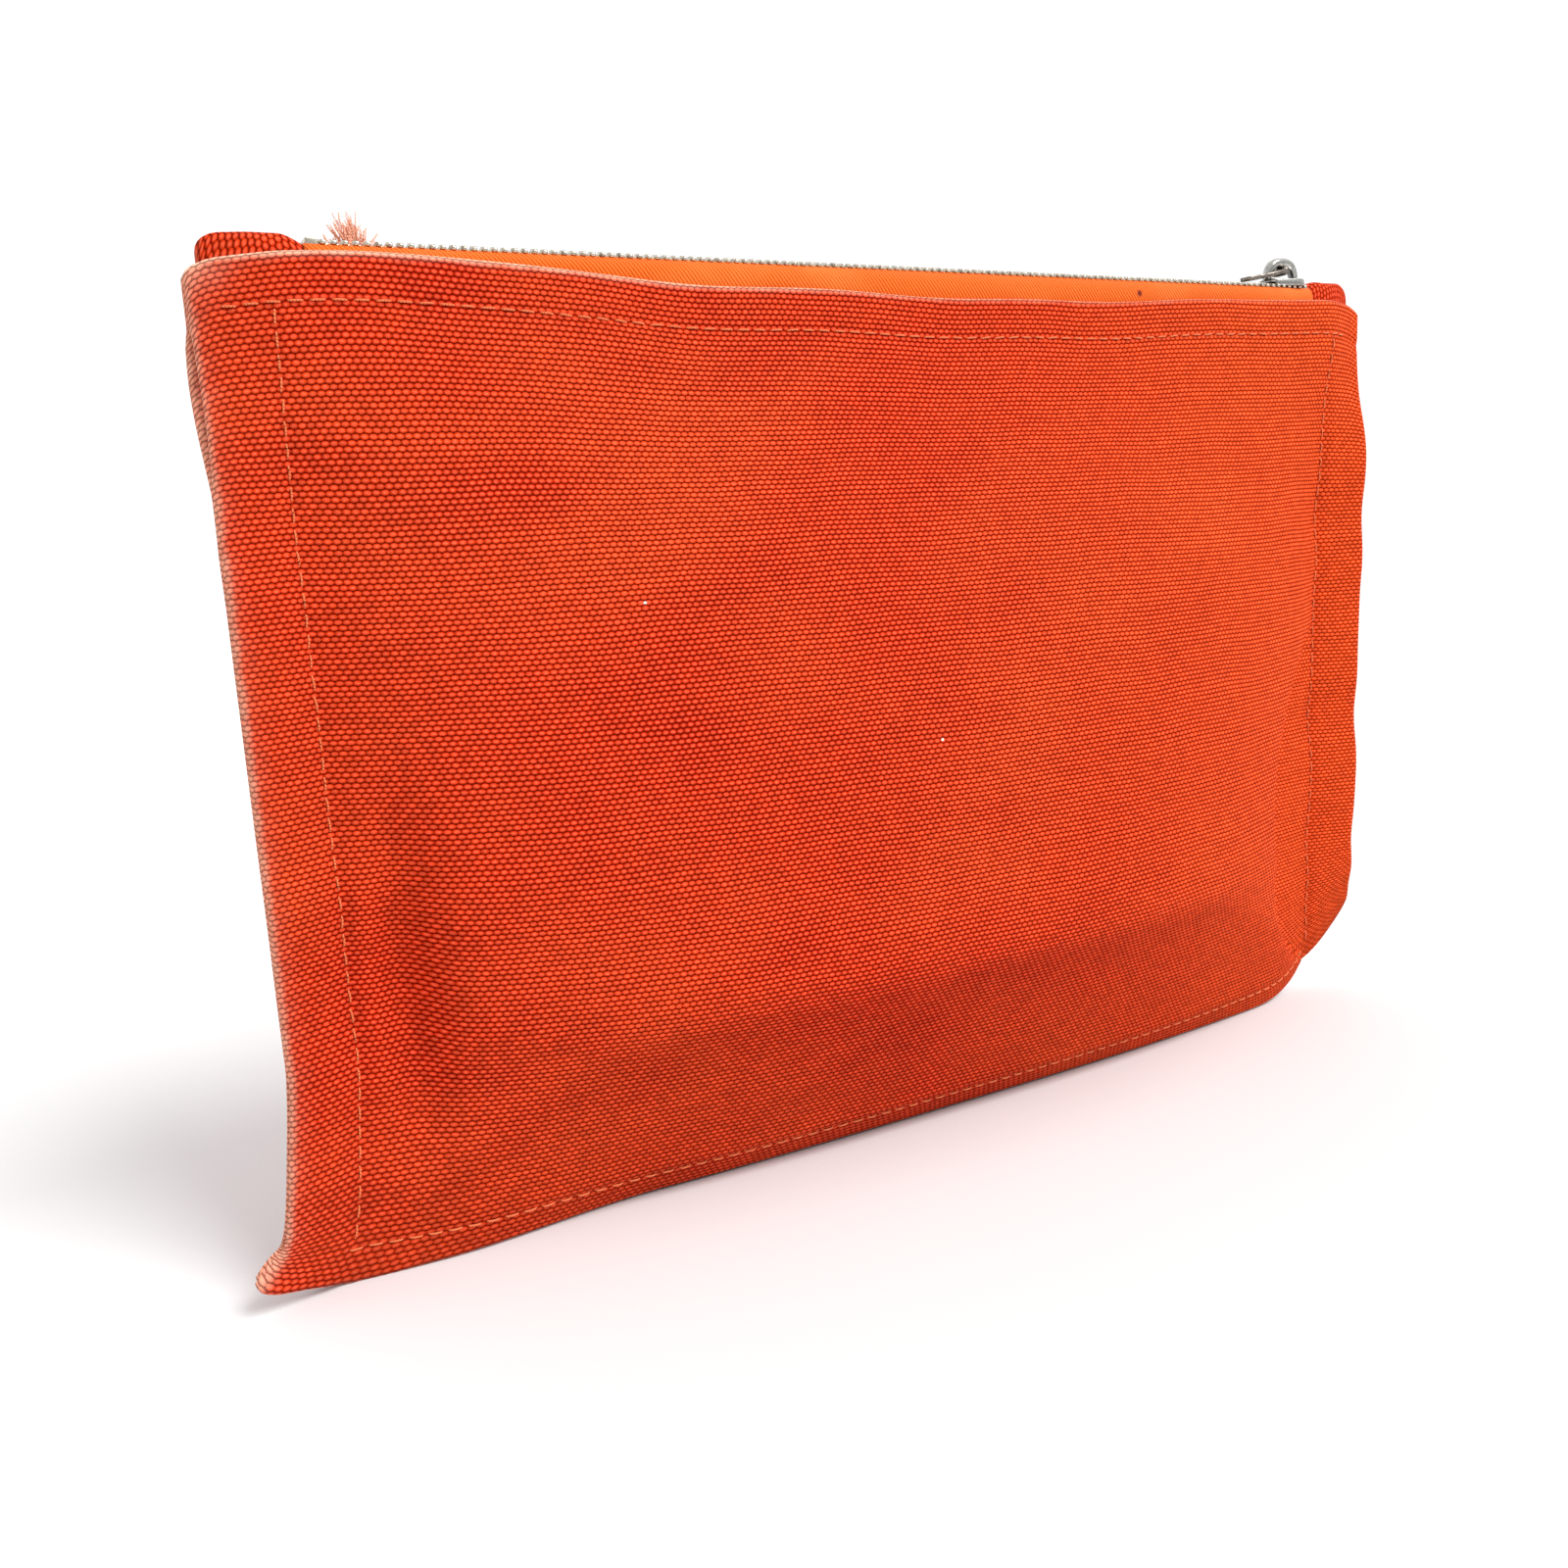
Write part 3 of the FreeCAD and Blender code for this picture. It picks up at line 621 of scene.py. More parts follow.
def wear_and_grime(across, down):
    """Where the dye is rubbed off, where dirt has settled, and where the colour darkens towards the
    bottom edge.
    """
    top = down[None, :]
    left = (across + EDGE_X)[:, None]
    right = (EDGE_X - across)[:, None]
    bottom = (LAST_DOWN - down)[None, :]
    leftness = smooth(EDGE_X, -EDGE_X, across)[:, None]
    wear = edge_fall(top, 1.2 * MM) * (0.45 + 0.55 * leftness ** 2)
    for most, away, reach in ((0.6, left, 1.7), (0.42, right, 1.3), (0.36, bottom, 1.2),
                              (0.55, np.hypot(left, top), 9), (0.24, left, 8)):
        wear = np.maximum(wear, most * edge_fall(away, reach * MM))
    grime = 0.0
    # dirt at the bottom left corner and along the left edge; the colour also turns darker towards the
    # bottom edge
    corner = np.hypot(left - 10 * MM, bottom - 4 * MM)
    for most, away, reach in ((0.8, corner, 24), (0.42, bottom, 26), (0.35, left, 7)):
        grime = np.maximum(grime, most * edge_fall(away, reach * MM))
    return wear, grime


def canvas_panel(side, material):
    """One panel as a closed sheet with rounded edges; returns its outer face for the stitching."""
    across = grid_lines(-EDGE_X, EDGE_X, -STITCH_X, STITCH_X)
    down = grid_lines(0.0, LAST_DOWN, HEM_STITCH, BASE_ROW)
    across = round_lines(across, -EDGE_X, EDGE_X, DOUBLED / 2)
    down = round_lines(down, 0.0, LAST_DOWN, HEM / 2)
    grid = sculpt(side, outer_face(side, across, down))
    for shape in (margin_flare, mouth_sag, left_corner, right_corner):
        grid = shape(grid)
    normal = face_normals(grid, side)
    dimple = stitch_dimples(across, down)
    grid = grid - normal * (0.26 * MM * dimple)[..., None]

    in_margin = smooth(SEAM_X - 2 * MM, SEAM_X + 1 * MM, np.abs(across))[:, None]
    in_base = smooth(CLOTH_HEIGHT - 4 * MM, CLOTH_HEIGHT, down)[None, :]
    in_hem = smooth(13.5 * MM, 12 * MM, down)[None, :]
    thick = CANVAS + (DOUBLED - CANVAS) * np.maximum(in_margin, in_base)
    thick = np.maximum(thick, HEM * in_hem * np.ones_like(thick) * (1 - in_margin)
                       + DOUBLED * in_hem * in_margin)
    rise = np.minimum(roundness(edge_distance(across, -EDGE_X, EDGE_X), DOUBLED / 2)[:, None],
                      roundness(edge_distance(down, 0.0, LAST_DOWN), HEM / 2)[None, :])
    outer = grid - normal * (thick / 2 * (1 - rise))[..., None]
    inner = grid - normal * (thick / 2 * (1 + rise))[..., None]

    rows, columns = len(across), len(down)
    number = np.arange(rows * columns).reshape(rows, columns)
    rim = rise < 1e-6
    inner_number = number.copy()
    inner_number[~rim] = rows * columns + np.arange(np.count_nonzero(~rim))
    vertices = np.concatenate((outer.reshape(-1, 3), inner[~rim]))
    vertices[:, 2] = np.maximum(vertices[:, 2], 0.0)
    faces = []
    for sheet, flip in ((number, side == FRONT), (inner_number, side == BACK)):
        quads = np.stack((sheet[:-1, :-1], sheet[1:, :-1], sheet[1:, 1:], sheet[:-1, 1:]), axis=-1)
        quads = quads.reshape(-1, 4)
        faces += (quads[:, ::-1] if flip else quads).tolist()
    piece = new_piece(f"canvas_{NAMES[side]}", vertices, faces, "pouch", material,
                      f"{NAMES[side]}_panel")
    s = wrapped(across, -EDGE_X, EDGE_X, DOUBLED / 2)
    t = wrapped(down, 0.0, LAST_DOWN, HEM / 2)
    cloth = np.stack(np.meshgrid(s, t, indexing="ij"), axis=-1)
    wear, grime = wear_and_grime(across, down)

    def both(layer):
        return np.concatenate((layer.reshape((-1,) + layer.shape[2:]), layer[~rim]))

    # painted shade: darker along the rows of stitching and below the crease under the belly
    pinch = np.maximum(HOLE_SHADE * dimple, FOOT_SHADE * shaded_foot(across, down))
    paint(piece, fabric=both(cloth), wear=both(wear), grime=both(grime), pinch=both(pinch))
    return across, down, outer, normal


# ---- stitching
def skin(rings, count):
    """Faces of a closed solid through rings of points that are numbered ring by ring."""
    faces = []
    for k in range(rings - 1):
        for j in range(count):
            a, b = k * count + j, k * count + (j + 1) % count
            faces.append((a, b, b + count, a + count))
    faces.append(tuple(range(count))[::-1])
    faces.append(tuple(range((rings - 1) * count, rings * count)))
    return faces


def loft(sections):
    """A closed solid through rings of points, all with the same count."""
    return [p for ring in sections for p in ring], skin(len(sections), len(sections[0]))


def tube(path, radius, sides=6):
    """Vertices, faces and (length, turn) coordinates of a tube along a path with closed ends."""
    path = np.asarray(path, float)
    along = np.gradient(path, axis=0)
    along /= np.linalg.norm(along, axis=1, keepdims=True)
    first = np.cross(along, (0.0, 0.0, 1.0) if abs(along[0][2]) < 0.9 else (1.0, 0.0, 0.0))
    first /= np.linalg.norm(first, axis=1, keepdims=True)
    second = np.cross(along, first)
    turns = np.arange(sides) / sides
    angle = 2 * math.pi * turns[:, None]
    out = np.cos(angle) * first[:, None] + np.sin(angle) * second[:, None]
    radii = np.broadcast_to(radius, (len(path),))[:, None, None]
    vertices = (path[:, None] + radii * out).reshape(-1, 3)
    marks = [(run, turn) for run in run_along(path) for turn in turns]
    return vertices, skin(len(path), sides), marks


class Joined:
    """Gathers many small solids into one mesh."""

    def __init__(self):
        self.vertices, self.faces, self.marks = [], [], []

    def add(self, vertices, faces, marks=None):
        base = len(self.vertices)
        self.vertices += list(vertices)
        self.faces += [tuple(base + k for k in face) for face in faces]
        self.marks += marks or [(0.0, 0.0)] * len(vertices)

    def piece(self, name, body, slot, material, node):
        made = orient(new_piece(name, self.vertices, self.faces, body, material, node))
        paint(made, fabric=self.marks)
        return made


STITCH_PITCH = 3.7 * MM
STITCH_LENGTH = 2.8 * MM
THREAD = 0.21 * MM


def stitch_row(joined, line, normals, seed):
    """Running stitches along a line on the cloth, each dipping into its two holes."""
    length = run_along(line)

    def read(values, places):
        return np.stack([np.interp(places, length, values[:, k]) for k in range(3)], axis=-1)

    share = np.linspace(0, 1, 9)
    end = 2 * share - 1
    start, index = 0.0, 0
    while start + STITCH_LENGTH < length[-1]:
        wobble = drift(index * 0.71, seed, 0.5)
        at = start + STITCH_LENGTH * (1 + 0.1 * wobble) * share
        path, up = read(line, at), read(normals, at)
        aside = np.cross(up, np.gradient(path, axis=0))
        aside /= np.linalg.norm(aside, axis=1, keepdims=True)
        lift = THREAD * (1.15 - 2.3 * np.abs(end) ** 3.5)
        path = path + up * lift[:, None] + aside * (0.22 * MM * wobble * end)[:, None]
        joined.add(*tube(path, THREAD * (1 - 0.35 * np.abs(end) ** 4)))
        start += STITCH_PITCH * (1 + 0.05 * wobble)
        index += 1


def nearest(places, value):
    return int(np.argmin(np.abs(places - value)))


def stitch_all(panels, material):
    """The rows of stitching that follow the finished canvas."""
    def row(name, node, parts):
        joined = Joined()
        for outer, normal, seed in parts:
            stitch_row(joined, outer, normal, seed)
        joined.piece(name, "pouch", "thread", material, node)

    sides, base = {-1: [], 1: []}, []
    for side, (across, down, outer, normal) in panels.items():
        hem, keep = nearest(down, HEM_STITCH), np.abs(across) < EDGE_X - 4 * MM
        row(f"hem_stitches_{NAMES[side]}", f"hem_stitching_{NAMES[side]}",
            [(outer[keep, hem], normal[keep, hem], side)])
        keep = (down > HEM_STITCH + 0.6 * MM) & (down < BASE_ROW + 1 * MM)
        for sign, parts in sides.items():
            column = nearest(across, sign * STITCH_X)
            parts.append((outer[column, keep], normal[column, keep], sign + side * 7))
        last, keep = nearest(down, BASE_ROW), np.abs(across) < STITCH_X + 1 * MM
        base.append((outer[keep, last], normal[keep, last], 5 + side))
    row("side_stitches_left", "side_stitching_left", sides[-1])
    row("side_stitches_right", "side_stitching_right", sides[1])
    row("base_stitches", "bottom_stitching", base)


# ---- zip
def rounded_ring(half_x, half_z, cut=0.3):
    """Eight corners of a rectangle with its corners cut off, as (x, z) pairs."""
    cx, cz = half_x * (1 - cut), half_z * (1 - cut)
    return ((half_x, cz), (cx, half_z), (-cx, half_z), (-half_x, cz),
            (-half_x, -cz), (-cx, -half_z), (cx, -half_z), (half_x, -cz))


# sections of a tooth from its clamped end to its nose, in mm: y, half its length along the zip, half
# its height, and how high its middle is
TOOTH = ((2.45, 0.30, 0.70, 0), (2.30, 0.43, 0.98, 0), (1.90, 0.46, 1.06, 0), (1.20, 0.46, 1.06, 0),
         (0.95, 0.40, 0.92, 0), (0.60, 0.30, 0.80, 0), (0.25, 0.34, 0.86, 0), (-0.15, 0.41, 0.90, 0),
         (-0.50, 0.38, 0.78, 0), (-0.66, 0.22, 0.48, 0))
# the same for its two legs, which clamp the tape's cord from below and above
LEGS = (((1.9, 0.34, 0.16, -0.90), (2.5, 0.42, 0.18, -0.92), (2.95, 0.40, 0.16, -0.92),
         (3.08, 0.24, 0.10, -0.9)),
        ((1.9, 0.36, 0.30, 0.42), (2.7, 0.46, 0.42, 0.42), (3.15, 0.46, 0.42, 0.38),
         (3.34, 0.28, 0.22, 0.34)))
# and for a top stop, which clamps one tape's cord at the chain's right end
TOP_STOP = ((0.7, 0.35, 0.70, 0), (1.0, 0.58, 1.05, 0), (2.4, 0.58, 1.05, 0), (2.7, 0.35, 0.70, 0))
TOOTH_LENGTH = 0.9 * MM
TOOTH_PITCH = 1.9 * MM


def clamped(sections, x, side, z):
    """A small metal part on one side of the chain, from a list of its sections."""
    return loft([[(x + a * MM, side * y * MM, z + rise * MM + b * MM)
                  for a, b in rounded_ring(half_x, half_z)][::-side]
                 for y, half_x, half_z, rise in sections])


def teeth_row(side, material):
    """One row of metal teeth, each clamped on its tape's cord and meshing with the other row."""
    low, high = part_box(f"zip_teeth_{NAMES[side]}")
    middle_z = (low.z + high.z) / 2
    row = Joined()
    for k in range(round((high.x - low.x - TOOTH_LENGTH) / TOOTH_PITCH) + 1):
        x = low.x + TOOTH_LENGTH / 2 + k * TOOTH_PITCH
        z = middle_z + drift(k * 0.9, side, 2.0) * 0.05 * MM
        for sections in (TOOTH, *LEGS):
            row.add(*clamped(sections, x, side, z))
    row.piece(f"teeth_{NAMES[side]}", "pouch", "nickel_teeth", material, f"zip_teeth_{NAMES[side]}")


def tape(side, material):
    """A zip tape: a flat band that rises behind the mouth edge and ends in the cord the teeth clamp."""
    low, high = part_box(f"zip_tape_{NAMES[side]}")
    teeth_low, teeth_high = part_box(f"zip_teeth_{NAMES[side]}")
    chain = (teeth_low.z + teeth_high.z) / 2
    # its section in millimetres out from the chain's middle, from the hidden lower edge up
    outline = [(4.25, -12.6), (4.3, -7.0), (4.25, -4.0), (4.08, -2.2), (3.7, -1.1)]
    half = 0.25
    cord = [(2.62 + 0.42 * math.cos(a), 0.42 * math.sin(a) - 0.3)
            for a in np.linspace(0.45, 2 * math.pi - 0.45, 11)]
    rings, marks = [], []
    for x in np.linspace(low.x, high.x, 181):
        sway = drift(x * 40, side * 3.0, 1.0) * 0.25
        outer = [(y + sway * smooth(0.0, -4.0, z), z) for y, z in outline]
        points = ([(y + half, z) for y, z in outer] + [(3.2, -0.12)] + cord + [(3.05, -0.62)]
                  + [(y - half, z) for y, z in outer[::-1]])
        rings.append([(x, side * y * MM, chain + z * MM) for y, z in points])
        marks += [(x, run * MM) for run in run_along(points)]
    band = Joined()
    band.add(*loft(rings), marks)
    band.piece(f"tape_{NAMES[side]}", "pouch", "zip_tape", material, f"zip_tape_{NAMES[side]}")


def stops(material):
    """The block that clamps both tapes at the chain's left end, and the pair at its right end."""
    low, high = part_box("bottom_stop")
    low.y, high.y = low.y - 0.5 * MM, high.y + 0.5 * MM
    corners = [(x, y, z) for x in (low.x, high.x) for y in (low.y, high.y) for z in (low.z, high.z)]
    faces = [(0, 1, 3, 2), (4, 6, 7, 5), (0, 4, 5, 1), (2, 3, 7, 6), (0, 2, 6, 4), (1, 5, 7, 3)]
    block = new_piece("zip_bottom_stop", corners, faces, "pouch", material,
                      "bottom_stop")
    soften(orient(block), 0.25 * MM, 3)
    low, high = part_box("top_stops")
    pair = Joined()
    for side in (FRONT, BACK):
        pair.add(*clamped(TOP_STOP, (low.x + high.x) / 2, side, (low.z + high.z) / 2))
    pair.piece("zip_top_stops", "pouch", "nickel_teeth", material, "top_stops")


def end_tab(name, node, material, towards_zip):
    """A folded patch of canvas over one end of the zip, pinched into the side seam at its outer end."""
    low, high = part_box(node)
    length = high.x - low.x + 2.6 * MM
    outer_x = low.x if towards_zip > 0 else high.x
    top, foot = high.z - 0.5 * MM, low.z + 0.2 * MM
    rings, marks = [], []
    for share in (0.0, 0.012, 0.035, 0.07, *np.linspace(0.12, 0.93, 24), 0.965, 0.988, 1.0):
        away = share * length
        x = outer_x + towards_zip * away
        bulge = roundness(away, 4.5 * MM)
        tuck = roundness(length - away, 1.2 * MM)
        half = (1.3 + 2.7 * smooth(0.0, 11 * MM, away)) * MM * (0.25 + 0.75 * bulge) * (0.6 + 0.4 * tuck)
        crest = top - (3.4 * (1 - bulge) + 2.5 * smooth(0.66, 1.0, share) + 0.5 * (1 - tuck)) * MM
        ring = []
        for angle in (np.arange(44) + 0.5) * 2 * math.pi / 44:
            y = half * squarish(math.sin(angle), 0.62)
            z = (crest + foot) / 2 - (crest - foot) / 2 * squarish(math.cos(angle), 0.45)
            ripple = drift(x * 180, y * 160, z * 90) * 0.22 * MM
            ring.append((x, y + ripple, z + ripple))
        rings.append(ring)
        marks += [(run, away) for run in run_along(ring)]
    vertices, faces = loft(rings)
    piece = new_piece(name, vertices, faces, "pouch", material, node)
    places = np.array(vertices)
    away = np.abs(places[:, 0] - outer_x)
    wear = 0.35 * np.exp(-np.minimum(away, length - away) / (1.2 * MM))
    wear += 0.25 * smooth(top - 1 * MM, top, places[:, 2])
    paint(piece, fabric=np.array(marks), wear=wear, grime=np.full(len(vertices), 0.25),
          pinch=np.zeros(len(vertices)))
    orient(piece)


# ---- slider and pull
def slider_plate(low, high):
    """A slider's top plate: narrow where the shut chain leaves it, wide at its shoulders."""
    shape = ((0.0, 0.52), (0.04, 0.66), (0.12, 0.74), (0.3, 0.8), (0.5, 0.88), (0.7, 0.97),
             (0.84, 1.0), (0.94, 0.96), (1.0, 0.78), (0.985, 0.5), (0.955, 0.25), (0.945, 0.0))
    upper = [(low.x + a * (high.x - low.x), b * high.y) for a, b in shape]
    outline = upper + [(x, -y) for x, y in upper[-2::-1]]
    middle_x = sum(p[0] for p in outline) / len(outline)
    return loft([[(middle_x + (x - middle_x) * share, y * share, high.z - depth * MM)
                  for x, y in outline]
                 for depth, share in ((1.0, 0.93), (0.88, 1.0), (0.25, 1.0), (0.06, 0.955), (0.0, 0.86))])


def slider_body(material):
    """Two plates joined by a post, with side walls that leave a slot for the tape."""
    low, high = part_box("slider_body")
    middle = (low.z + high.z) / 2
    made = Joined()
    vertices, faces = slider_plate(low, high)
    made.add(vertices, faces)
    made.add([(x, y * 0.84, 2 * middle - z) for x, y, z in vertices], faces)
    # a wall's section in mm: out from its line, up from its edge, and whether it meets the plate
    wall = ((-0.26, 0.0, False), (0.2, 0.0, False), (0.27, 0.3, False),
            (0.24, 0.0, True), (-0.3, 0.0, True), (-0.32, 0.3, False))
    stations = ((0.10, 0.66), (0.3, 0.755), (0.5, 0.835), (0.7, 0.92), (0.86, 0.945), (0.95, 0.88))
    for side in (-1, 1):
        for up, narrower in ((-1, 0.85), (1, 1.0)):
            edge = middle + up * 0.55 * MM
            top = middle + up * (high.z - middle - 0.5 * MM)
            made.add(*loft([[(low.x + a * (high.x - low.x),
                              side * (high.y * reach + 0.18 * MM) * narrower + out * MM,
                              top if at_plate else edge + up * rise * MM)
                             for out, rise, at_plate in wall] for a, reach in stations]))
    post = ((0, 0.1), (0.8, 0.3), (2.2, 0.3), (2.5, 0.0), (2.2, -0.3), (0.8, -0.3), (0, -0.1))
    made.add(*loft([[(high.x + (a - 3.2) * MM, b * MM, z) for a, b in post]
                    for z in (low.z + 0.6 * MM, high.z - 0.6 * MM)]))
    soften(made.piece("slider_plates", "slider", "nickel_slider", material, "slider_body"), 0.1 * MM, 2)


def soften(piece, width, segments):
    """Rounds a piece's sharp edges."""
    rounding = piece.modifiers.new("rounding", "BEVEL")
    rounding.width = width
    rounding.segments = segments
    rounding.limit_method = "ANGLE"
    rounding.angle_limit = math.radians(35)


def crown(material):
    """The arched cover over the lock spring, thick and round-shouldered, closed at its left foot."""
    low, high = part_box("slider_crown")
    sunk = 0.3 * MM  # how far its feet are sunk in the plate
    reach, rise = (high.x - low.x) / 2 + 0.5 * MM, high.z - low.z + sunk
    rings = []
    for angle in np.linspace(0, math.pi, 25):
        sine = math.sin(angle)
        spread, lift = squarish(math.cos(angle), 0.72), sine ** 0.8
        thick = (1.5 + 0.8 * sine) * MM
        half_width = (1.14 + 0.24 * sine) * MM
        centre_x = (low.x + high.x) / 2 + (reach - thick / 2) * spread
        centre_z = low.z - sunk + (rise + sunk - thick / 2) * lift
        out = Vector((spread / reach, lift / rise)).normalized()
        ring = []
        for turn in np.linspace(0, 2 * math.pi, 14, endpoint=False):
            a = squarish(math.cos(turn), 0.7) * thick / 2
            ring.append((centre_x + out[0] * a, squarish(math.sin(turn), 0.7) * half_width,
                         centre_z + out[1] * a))
        rings.append(ring)
    made = Joined()
    made.add(*loft(rings))
    made.piece("slider_arch", "slider", "nickel_slider", material, "slider_crown")


def spring(material):
    """The lock spring's leaf under the arch, with its pawl end turned down."""
    low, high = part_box("lock_spring")
    half, thick = (high.y - low.y) / 2, 0.25 * MM
    reach, rise = (high.x - low.x - thick) / 2, high.z - low.z - thick / 2
    rings = []
    for angle in np.linspace(0, math.pi, 19):
        sine = math.sin(angle)
        x, z = (low.x + high.x) / 2 + reach * math.cos(angle), low.z + rise * sine ** 0.9
        dx, dz = math.cos(angle) * thick / 2, sine * thick / 2
        rings.append([(x + dx, half, z + dz), (x - dx, half, z - dz),
                      (x - dx, -half, z - dz), (x + dx, -half, z + dz)])
    made = Joined()
    made.add(*loft(rings))
    leaf = made.piece("lock_spring_leaf", "slider", "spring_steel", material, "lock_spring")
    soften(leaf, 0.04 * MM, 2)


def pull(material):
    """The pull tab: a bar through the arch, two short arms, and a slim blade with a rounded tip."""
    joint = next(j for j in frame["joints"] if j["name"] == "pull_tab_hinge")
    pivot = Vector(joint["pos_m"])
    tilt = math.radians(11.5)
    along = Vector((-math.cos(tilt), 0.0, -math.sin(tilt)))
    up = Vector((-math.sin(tilt), 0.0, math.cos(tilt)))
    reach, before, half, thick = 14.2 * MM, 1.2 * MM, 2.8 * MM, 0.5 * MM
    window, window_half = 5.6 * MM, 1.55 * MM
    count = 48
    outer, inner = [], []
    for k in range(count):
        c, s = math.cos(2 * math.pi * k / count), math.sin(2 * math.pi * k / count)
        a = reach / 2 * (squarish(c, 0.5) + 1) - before
        outer.append((a, half * squarish(s, 0.5) * (1.0 - 0.24 * smooth(5 * MM, 9 * MM, a))))
        inner.append((window / 2 * (squarish(c, 0.45) + 1) - 0.1 * MM, window_half * squarish(s, 0.45)))
    # round the blade's edge and back through its window: outline, height and width of each layer
    layers = ((outer, -1.0, 0.95), (outer, -0.4, 1.0), (outer, 0.4, 1.0), (outer, 1.0, 0.95),
              (inner, 1.0, 1.06), (inner, 0.4, 1.0), (inner, -0.4, 1.0), (inner, -1.0, 1.06))
    vertices = []
    for outline, height, width in layers:
        middle = sum(p[0] for p in outline) / count
        for a, b in outline:
            bow = 0.35 * MM * smooth(6 * MM, 14 * MM, a)
            a = middle + (a - middle) * (1 - (1 - width) * 0.3)
            vertices.append(pivot + along * a + Vector((0, b * width, 0)) + up * (height * thick + bow))
    total = len(vertices)
    faces = []
    for k in range(0, total, count):
        for j in range(count):
            a, b = k + j, k + (j + 1) % count
            faces.append((a, b, (b + count) % total, (a + count) % total))
    made = Joined()
    made.add(vertices, faces)
    bar = [pivot + Vector((0, b, 0)) for b in np.linspace(-2.3 * MM, 2.3 * MM, 9)]
    radii = np.array([0.9, 1.02, 1.08, 1.1, 1.1, 1.1, 1.08, 1.02, 0.9]) * MM
    made.add(*tube(bar, radii, 16)[:2])
    made.piece("pull_tab_blade", "pull", "pull_metal", material, "pull_tab")


# ---- loose threads
def thread_tuft(material):
    """A small fan of frayed thread ends behind the chain."""
    low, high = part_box("loose_threads")
    foot = Vector(((low.x + high.x) / 2 + 1.2 * MM, (low.y + high.y) / 2, low.z))
    tuft = Joined()
    share = np.linspace(0, 1, 9)
    for k in range(84):
        spread = drift(k * 1.37, 0.3, 7.0) * 1.6
        depth = drift(k * 1.91, 5.3, 2.0) * 1.4
        tall = 0.72 + 0.5 * abs(drift(k * 0.77, 2.2, 4.0)) - 0.28 * abs(spread)
        curl = np.array([drift(k * 2.1, part * 2.6, 9.0) for part in share]) * 2.2 * MM * share
        path = np.stack((foot.x + (spread * 4.6 * share ** 1.2 - 1.4 * share) * MM + curl,
                         foot.y + depth * 0.9 * MM * share + curl * 0.5,
                         foot.z + (high.z + 2.2 * MM - low.z) * tall * share), axis=-1)
        tuft.add(*tube(path, (0.17 - 0.08 * share) * MM * (1 + 0.5 * (k % 5 == 0)), 5))
    tuft.piece("thread_tuft", "pouch", "worn_thread", material, "loose_threads")


# ---- build
# lint on the front and a dark speck on its tape, at places on the cloth
canvas = canvas_material("canvas_cotton", ((-71 * MM, 68 * MM, 0.0), (-11 * MM, 104 * MM, 0.0)))
canvas_plain = canvas_material("canvas_cotton_back")
thread = thread_material("seam_thread", linear(246, 132, 78), linear(176, 44, 14))
stitch_all({FRONT: canvas_panel(FRONT, canvas), BACK: canvas_panel(BACK, canvas_plain)}, thread)

twill = {FRONT: tape_material("zip_tape_front", ((65 * MM, 9.6 * MM, 0.0),)),
         BACK: tape_material("zip_tape_back")}
nickel_teeth = metal_material("nickel_teeth", (0.66, 0.60, 0.50), (0.20, 0.17, 0.13), 0.24, 0.8)
nickel_slider = metal_material("nickel_slider", (0.46, 0.45, 0.42), (0.20, 0.19, 0.18), 0.18, 0.6)
dark_pull = metal_material("pull_metal", (0.24, 0.21, 0.18), (0.10, 0.08, 0.07), 0.28, 0.8)
spring_steel = metal_material("spring_steel", (0.42, 0.42, 0.44), (0.22, 0.22, 0.23), 0.3, 0.5)
for side in (FRONT, BACK):
    tape(side, twill[side])
    teeth_row(side, nickel_teeth)
stops(nickel_teeth)
end_tab("end_fold_left", "end_tab_left", canvas_plain, 1)
end_tab("end_fold_right", "end_tab_right", canvas_plain, -1)
slider_body(nickel_slider)
crown(nickel_slider)
spring(spring_steel)
pull(dark_pull)
thread_tuft(thread_material("frayed_thread", linear(250, 190, 160), linear(222, 120, 86)))


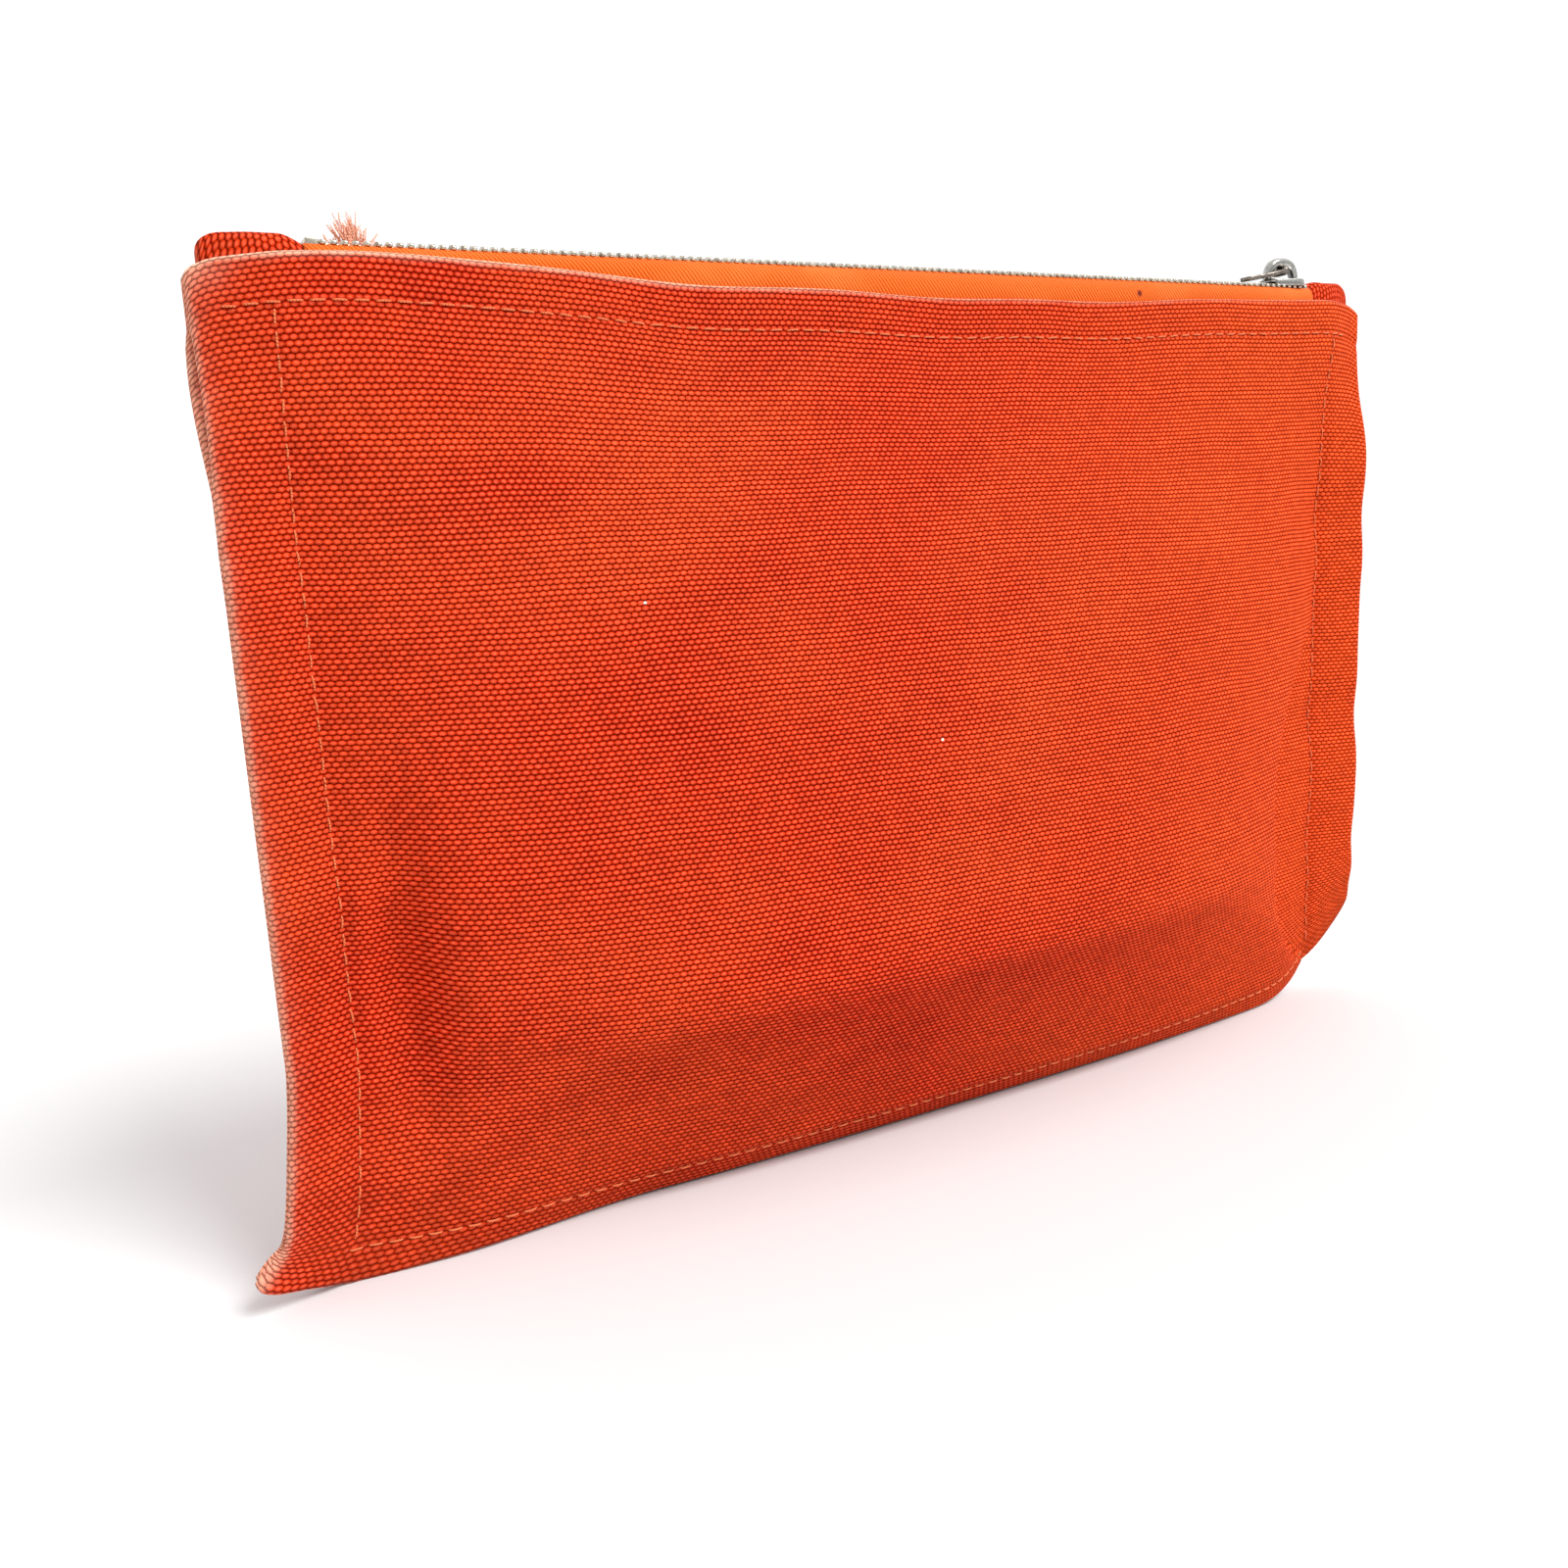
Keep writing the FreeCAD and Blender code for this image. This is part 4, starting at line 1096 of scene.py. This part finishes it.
# ---- floor, light and camera
def pale_floor():
    """A wide floor, pale and matt, with the faintest mottling."""
    n = new_material("pale_floor")
    place = n.node("ShaderNodeNewGeometry", "Position")
    tint = n.mix(n.noise(place, 6.0, 2.0), (0.73, 0.73, 0.73), (0.75, 0.75, 0.75))
    material = n.finish(tint, 0.7, n.noise(place, 900.0, 2.0), 0.02 * MM, Specular_IOR_Level=0.05)
    reach = 30.0
    corners = [(-reach, -reach, 0.0), (reach, -reach, 0.0), (reach, reach, 0.0), (-reach, reach, 0.0)]
    mesh = bpy.data.meshes.new("floor")
    mesh.from_pydata(corners, [], [(0, 1, 2, 3)])
    mesh.materials.append(material)
    in_scene(bpy.data.objects.new("floor", mesh))


def sky():
    """White behind and above, dim in front, so that the front is shaped by the key light."""
    world = bpy.data.worlds.new("studio")
    bpy.context.scene.world = world
    n = Nodes(world)
    brightest = Vector((0.25, 0.75, 0.62)).normalized()
    facing = n.node("ShaderNodeVectorMath", 1, (n.node("ShaderNodeTexCoord"), brightest),
                    operation="DOT_PRODUCT")
    n.put(n.ramp(facing, -0.55, 0.45, 0.5, 1.08), n.tree.nodes["Background"].inputs["Color"])


def soft_sun(name, towards, strength, spread):
    """Even light over pouch and floor from one direction, spread so that its shadows are soft."""
    data = bpy.data.lights.new(name, "SUN")
    data.energy = strength
    data.angle = math.radians(spread)
    light = in_scene(bpy.data.objects.new(name, data))
    light.rotation_mode = "QUATERNION"
    light.rotation_quaternion = Vector(towards).to_track_quat("Z", "Y")


def photo_camera():
    """Close in, off the left end, looking along and slightly down, with a small roll."""
    turn, down, roll = math.radians(28.17), math.radians(10.70), math.radians(-3.15)
    data = bpy.data.cameras.new("camera")
    data.sensor_width = 36.0
    data.lens = 31.5
    data.clip_start = 0.01
    camera = in_scene(bpy.data.objects.new("camera", data))
    camera.matrix_world = (Matrix.Translation((-172.1 * MM, -258.0 * MM, 135.8 * MM))
                           @ Matrix.Rotation(-turn, 4, "Z")
                           @ Matrix.Rotation(math.pi / 2 - down, 4, "X")
                           @ Matrix.Rotation(roll, 4, "Z"))
    bpy.context.scene.camera = camera


pale_floor()
sky()
soft_sun("key", (0.35, -0.54, 0.765), 2.65, 30.0)
photo_camera()
bpy.context.scene.view_settings.view_transform = "Standard"
